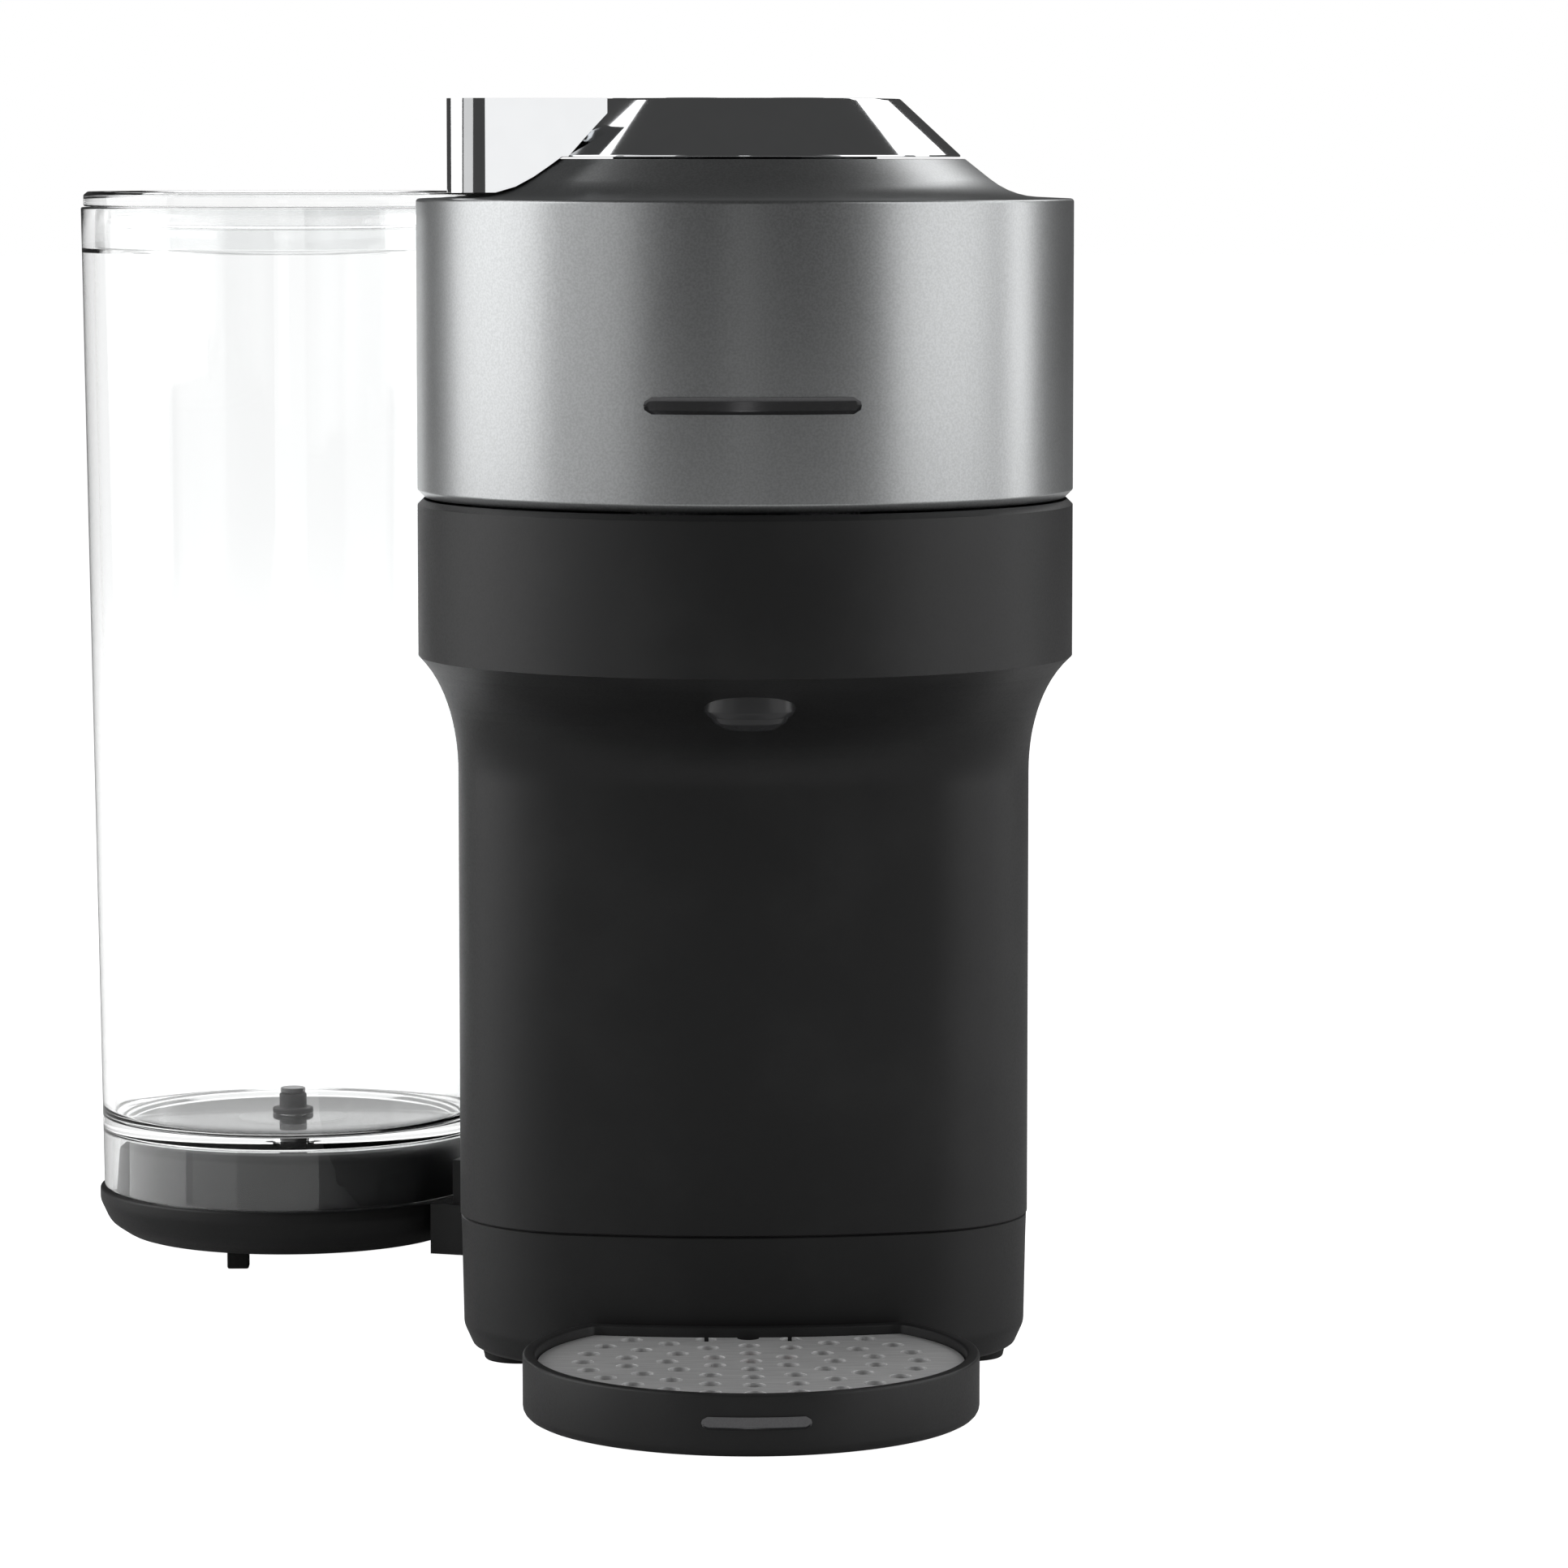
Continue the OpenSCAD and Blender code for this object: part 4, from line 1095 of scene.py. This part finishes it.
@dataclass
class Tray:
    """The drip tray, its perforated plate, its float and its blank badge."""

    shop: Workshop
    plan: ColumnPlan
    rim: float = 2.6
    gap: float = 0.6
    ledge: float = 1.6
    columns: int = 240
    tongue: Point = (10.0, 14.0, 3.2)
    tongue_x: float = 25.0
    tongue_y: float = -13.0
    tongue_z: float = 7.0

    @cached_property
    def radius(self) -> float:
        """The tray's radius in millimetres, from its CAD box."""
        low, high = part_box("drip_tray")
        return (high.x - low.x) / 2 / MM

    @cached_property
    def centre(self) -> Vector:
        """The tray's upright axis, through its float."""
        return axis("tray_float")

    @cached_property
    def offset(self) -> float:
        """How far the tray's axis is behind the head's, in millimetres."""
        return (self.centre.y - self.shop.head.y) / MM

    def build(self) -> None:
        """Build every piece of the tray."""
        self.bowl()
        self.shop.soften("drip_grid", 0.12, 40)
        self.shop.soften("tray_float", 0.4)
        low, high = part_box("tray_badge")
        size = Vector((high.x - low.x, 2.6 * MM))
        plate = NamePlate(self.shop, size, self.radius, self.centre, (low.z + high.z) / 2, 0.35)
        plate.build("tray_badge_plate", "tray_badge")

    def row(self, inset: float, z: float) -> list[Vector]:
        """One ring of the tray's outline, drawn in by a distance.

        Args:
            inset: how far inside the tray's outer face.
            z: its height in millimetres.

        Returns:
            The ring's points, in metres.
        """
        back = self.plan.outline(self.gap + inset, Vector((0.0, self.plan.rear_y)))
        row = []
        for i in range(self.columns):
            turn = 2 * math.pi * i / self.columns
            ray = Vector((math.cos(turn), math.sin(turn)))
            reach = self.radius - inset
            low, high = 0.0, reach
            for _ in range(16):
                middle = (low + high) / 2
                point = Vector((ray.x * middle, self.offset + ray.y * middle)) - back.origin
                free = point.length > back.reach(math.atan2(point.y, point.x))
                low, high = (middle, high) if free else (low, middle)
            row.append(self.centre + Vector((ray.x * high, ray.y * high, z)) * MM)
        return row

    def bowl(self) -> None:
        """Loft the tray from its underside over the rim to its floor, and add its tongues."""
        low, high = span("drip_tray")
        shelf = span("drip_grid")[0] - 0.1
        floor = span("tray_float")[0] - 0.1
        section = [
            (6.0, low),
            (0.0, low, 2.2),
            (0.0, high, 0.5),
            (self.rim, high, 0.5),
            (self.rim, shelf),
            (self.rim + self.ledge, shelf, 0.4),
            (self.rim + self.ledge, floor, 1.5),
            (9.0, floor),
        ]
        rows = [self.row(inset, z) for inset, z in filleted(section, step=18)]
        bm = self.shop.loft(rows, cap_start=True, cap_end=True)
        for side in (-1, 1):
            middle = self.shop.head + Vector((side * self.tongue_x, self.tongue_y, self.tongue_z)) * MM
            size = Matrix.Diagonal((*(length * MM for length in self.tongue), 1))
            made = bmesh.ops.create_cube(bm, size=1.0, matrix=Matrix.Translation(middle) @ size)["verts"]
            edges = {e for v in made for e in v.link_edges}
            bmesh.ops.bevel(
                bm, geom=list(edges), offset=0.5 * MM, affect="EDGES", segments=2, profile=0.5, material=-1
            )
        self.shop.piece("tray_bowl", bm, "drip_tray", sharp=50)


@dataclass
class Tank:
    """The clear tank with its lid, collar and floor valve."""

    shop: Workshop
    top: float = 47.5
    foot: float = 44.3
    wall: float = 2.6
    skirt: float = 2.2
    valve: float = 3.3

    def build(self) -> None:
        """Build every piece of the tank."""
        self.body()
        self.lid()
        self.collar()
        self.shop.soften("tank_valve", 0.3)
        self.shop.soften("valve_poppet", 0.2)
        self.shop.coil("valve_spring", 1.75, 0.35, 4)

    def body(self) -> None:
        """Turn the tank from its skirt to its rim."""
        low, high = span("tank_body")
        floor = span("tank_valve")[1] - 4.5
        rim = span("tank_collar")[0]
        at_floor = self.foot + (self.top - self.foot) * (floor - low) / (high - low)
        section = [
            (self.foot, low, 0.5),
            (self.top, high, 0.4),
            (self.top - self.wall - 0.5, high, 0.4),
            (self.top - self.wall - 0.5, rim, 0.3),
            (self.top - self.wall - 0.2, rim - 1, 0.3),
            (at_floor - self.wall, floor, 3.0),
            (self.valve, floor),
            (self.valve, floor - 2.4),
            (at_floor - self.skirt - 0.6, floor - 2.4, 1.0),
            (self.foot - self.skirt, low, 0.4),
        ]
        self.shop.turned("tank_vessel", "tank_body", section, self.shop.tank)

    def lid(self) -> None:
        """Turn the lid with its plug and a shallow dish in its top."""
        low, high = span("tank_lid")
        plug = self.top - self.wall - 3.4
        section = [
            (0.0, low),
            (plug - 1.0, low, 0.4),
            (plug, low + 1.0, 0.4),
            (plug, high - 3.4),
            (self.top - 0.6, high - 3.4, 0.4),
            (self.top - 0.6, high - 0.8, 0.6),
            (self.top - 1.6, high, 0.6),
            (self.top - 5.0, high, 0.6),
            (self.top - 6.0, high - 0.5, 0.6),
            (0.0, high - 0.5),
        ]
        self.shop.turned("tank_lid_plate", "tank_lid", section, self.shop.tank, closed=False)

    def collar(self) -> None:
        """Turn the ring that grips the lid."""
        low, high = span("tank_collar")
        outer = self.top - self.wall - 0.6
        section = [(outer, low, 0.3), (outer, high, 0.3), (outer - 2.4, high, 0.3), (outer - 2.4, low, 0.3)]
        self.shop.turned("tank_collar_ring", "tank_collar", section, self.shop.tank)


@dataclass
class SwingArm:
    """The arm under the tank: its turntable and beam, the dish, the plinth and the dock."""

    shop: Workshop
    dish: float = 45.3
    plinth: float = 41.0

    def build(self) -> None:
        """Build every piece of the arm."""
        self.shop.soften("tank_arm", 0.7)
        self.bowl()
        self.block()
        self.shop.soften("tank_foot", 0.5)
        self.shop.soften("dock_socket", 0.3)

    def bowl(self) -> None:
        """Turn the dish that the tank stands in."""
        low, high = span("tank_dish")
        section = [
            (0.0, low),
            (self.dish - 7, low, 5.0),
            (self.dish - 2.2, low + 3.2, 5.0),
            (self.dish, low + 8, 3.0),
            (self.dish, high, 0.6),
            (self.plinth + 0.5, high, 0.3),
            (self.plinth + 0.5, high - 2, 0.3),
            (0.0, high - 2),
        ]
        self.shop.turned("dish_bowl", "tank_dish", section, self.shop.tank, closed=False)

    def block(self) -> None:
        """Turn the plinth that fills the tank's skirt."""
        low, high = span("tank_plinth")
        section = [
            (0.0, low),
            (self.plinth, low),
            (self.plinth, low + 2),
            (self.plinth - 0.8, high - 1.5, 2.0),
            (self.plinth - 2.6, high, 1.4),
            (6.0, high, 0.4),
            (6.0, low + 4),
            (0.0, low + 4),
        ]
        self.shop.turned("plinth_block", "tank_plinth", section, self.shop.tank, closed=False)


@dataclass
class Works:
    """What is inside the column, the capsule bin and the mains fittings."""

    shop: Workshop

    nodes: tuple[str, ...] = (
        "chassis",
        "heater",
        "brew_chamber",
        "brew_deck",
        "brew_seal",
        "capsule_chute",
        "pump",
        "pump_mounts",
        "flow_meter",
        "feed_hose",
        "pump_hose",
        "pressure_pipe",
        "brew_pipe",
        "control_board",
        "capsule_bin",
        "bin_front",
        "mains_inlet",
        "switch_frame",
        "switch_rocker",
    )

    def build(self) -> None:
        """Soften each node in its own finish."""
        for node in self.nodes:
            self.shop.soften(node)


# ---------- studio ----------


@dataclass(frozen=True)
class SoftBox:
    """One rectangular lamp that faces the machine."""

    name: str
    place: Point
    size: tuple[float, float]
    power: float


@dataclass
class Studio:
    """The camera, the pale floor and the soft lamps."""

    shop: Workshop
    distance: float = 1.346
    side: float = -0.0307
    height: float = 0.2564
    pitch: float = 5.59
    yaw: float = 1.652
    lens: float = 147.76
    dimness: float = 0.055
    boxes: tuple[SoftBox, ...] = (
        SoftBox("lamp_left", (-1.5, 0.2, 0.75), (1.5, 1.7), 14.0),
        SoftBox("lamp_left_front", (-1.4, -1.05, 0.7), (1.0, 1.6), 3.2),
        SoftBox("lamp_right", (1.45, -0.5, 0.75), (1.3, 1.7), 9.5),
        SoftBox("lamp_right_strip", (1.3, 0.4, 0.6), (0.3, 1.5), 3.5),
        SoftBox("lamp_above_right", (0.88, 1.12, 1.19), (0.7, 0.7), 3.4),
        SoftBox("lamp_above_left", (-0.92, 0.77, 1.46), (0.35, 0.35), 0.8),
        SoftBox("lamp_card", (-0.07, -2.4, 0.26), (0.24, 0.2), 0.15),
    )

    def build(self) -> None:
        """Build the camera, the floor, the lamps and the white surround."""
        self.camera()
        self.floor()
        for box in self.boxes:
            self.lamp(box)
        self.surround()

    def camera(self) -> None:
        """Set the camera in front of the machine and a little above it."""
        data = bpy.data.cameras.new("camera")
        data.sensor_width = 36.0
        data.lens = self.lens
        data.clip_end = 60.0
        obj = bpy.data.objects.new("camera", data)
        bpy.context.scene.collection.objects.link(obj)
        obj.location = self.shop.head + Vector((self.side, -self.distance, self.height))
        obj.rotation_euler = (math.radians(90 - self.pitch), 0.0, math.radians(-self.yaw))
        bpy.context.scene.camera = obj

    def floor(self) -> None:
        """Lay a plain pale floor."""
        bm = bmesh.new()
        bmesh.ops.create_grid(bm, x_segments=2, y_segments=2, size=15.0)
        mesh = bpy.data.meshes.new("floor")
        bm.to_mesh(mesh)
        bm.free()
        obj = bpy.data.objects.new("floor", mesh)
        bpy.context.scene.collection.objects.link(obj)
        paint = Paint("pale_floor")
        path = paint.node("ShaderNodeLightPath", {})
        direct, through = (Signal(paint, path.outputs[f"Is {kind} Ray"]) for kind in ("Camera", "Transmission"))
        seen = direct.math("MAXIMUM", through)
        paint.set(Base_Color=paint.mix(seen, (0.8, 0.8, 0.8), (0.9, 0.9, 0.9)), Roughness=0.7)
        paint.set(Emission_Color=(1.0, 1.0, 1.0, 1.0), Emission_Strength=0.03 + 0.97 * seen)
        mesh.materials.append(paint.material)

    def lamp(self, box: SoftBox) -> None:
        """Hang one soft box and turn it to the machine."""
        data = bpy.data.lights.new(box.name, "AREA")
        data.shape = "RECTANGLE"
        data.size, data.size_y = box.size
        data.energy = box.power
        obj = bpy.data.objects.new(box.name, data)
        bpy.context.scene.collection.objects.link(obj)
        obj.location = self.shop.head + Vector(box.place)
        obj.visible_camera = False
        aim = self.shop.head + Vector((0, 0, min(0.26, box.place[2]))) - obj.location
        obj.rotation_euler = aim.to_track_quat("-Z", "Y").to_euler()

    def surround(self) -> None:
        """Light the scene evenly from a plain white world."""
        world = bpy.data.worlds.new("studio")
        world.use_nodes = True
        tree = world.node_tree
        tree.nodes.clear()
        path = tree.nodes.new("ShaderNodeLightPath")
        light = tree.nodes.new("ShaderNodeBackground")
        level = tree.nodes.new("ShaderNodeMapRange")
        output = tree.nodes.new("ShaderNodeOutputWorld")
        light.inputs["Color"].default_value = (1.0, 1.0, 1.0, 1.0)
        level.inputs["To Min"].default_value = self.dimness
        through = tree.nodes.new("ShaderNodeMath")
        through.operation = "MAXIMUM"
        tree.links.new(path.outputs["Is Camera Ray"], through.inputs[0])
        tree.links.new(path.outputs["Is Transmission Ray"], through.inputs[1])
        tree.links.new(through.outputs[0], level.inputs["Value"])
        tree.links.new(level.outputs[0], light.inputs["Strength"])
        tree.links.new(light.outputs[0], output.inputs["Surface"])
        bpy.context.scene.world = world
        bpy.context.scene.view_settings.view_transform = "Standard"


def main() -> None:
    """Build the machine and the studio."""
    logging.basicConfig(level=logging.INFO, format="%(message)s")
    shop = Workshop(Finishes())
    plan = ColumnPlan()
    assemblies = [
        Studio(shop),
        Head(shop),
        LeverSet(shop),
        Column(shop, plan),
        Base(shop, plan),
        Outlet(shop),
        Tray(shop, plan),
        Tank(shop),
        SwingArm(shop),
        Works(shop),
    ]
    for assembly in assemblies:
        assembly.build()
    left = sorted(set(frame["nodes"]) - shop.used)
    LOG.info("CAD nodes still shown: %s", left)


if __name__ == "__main__":
    main()
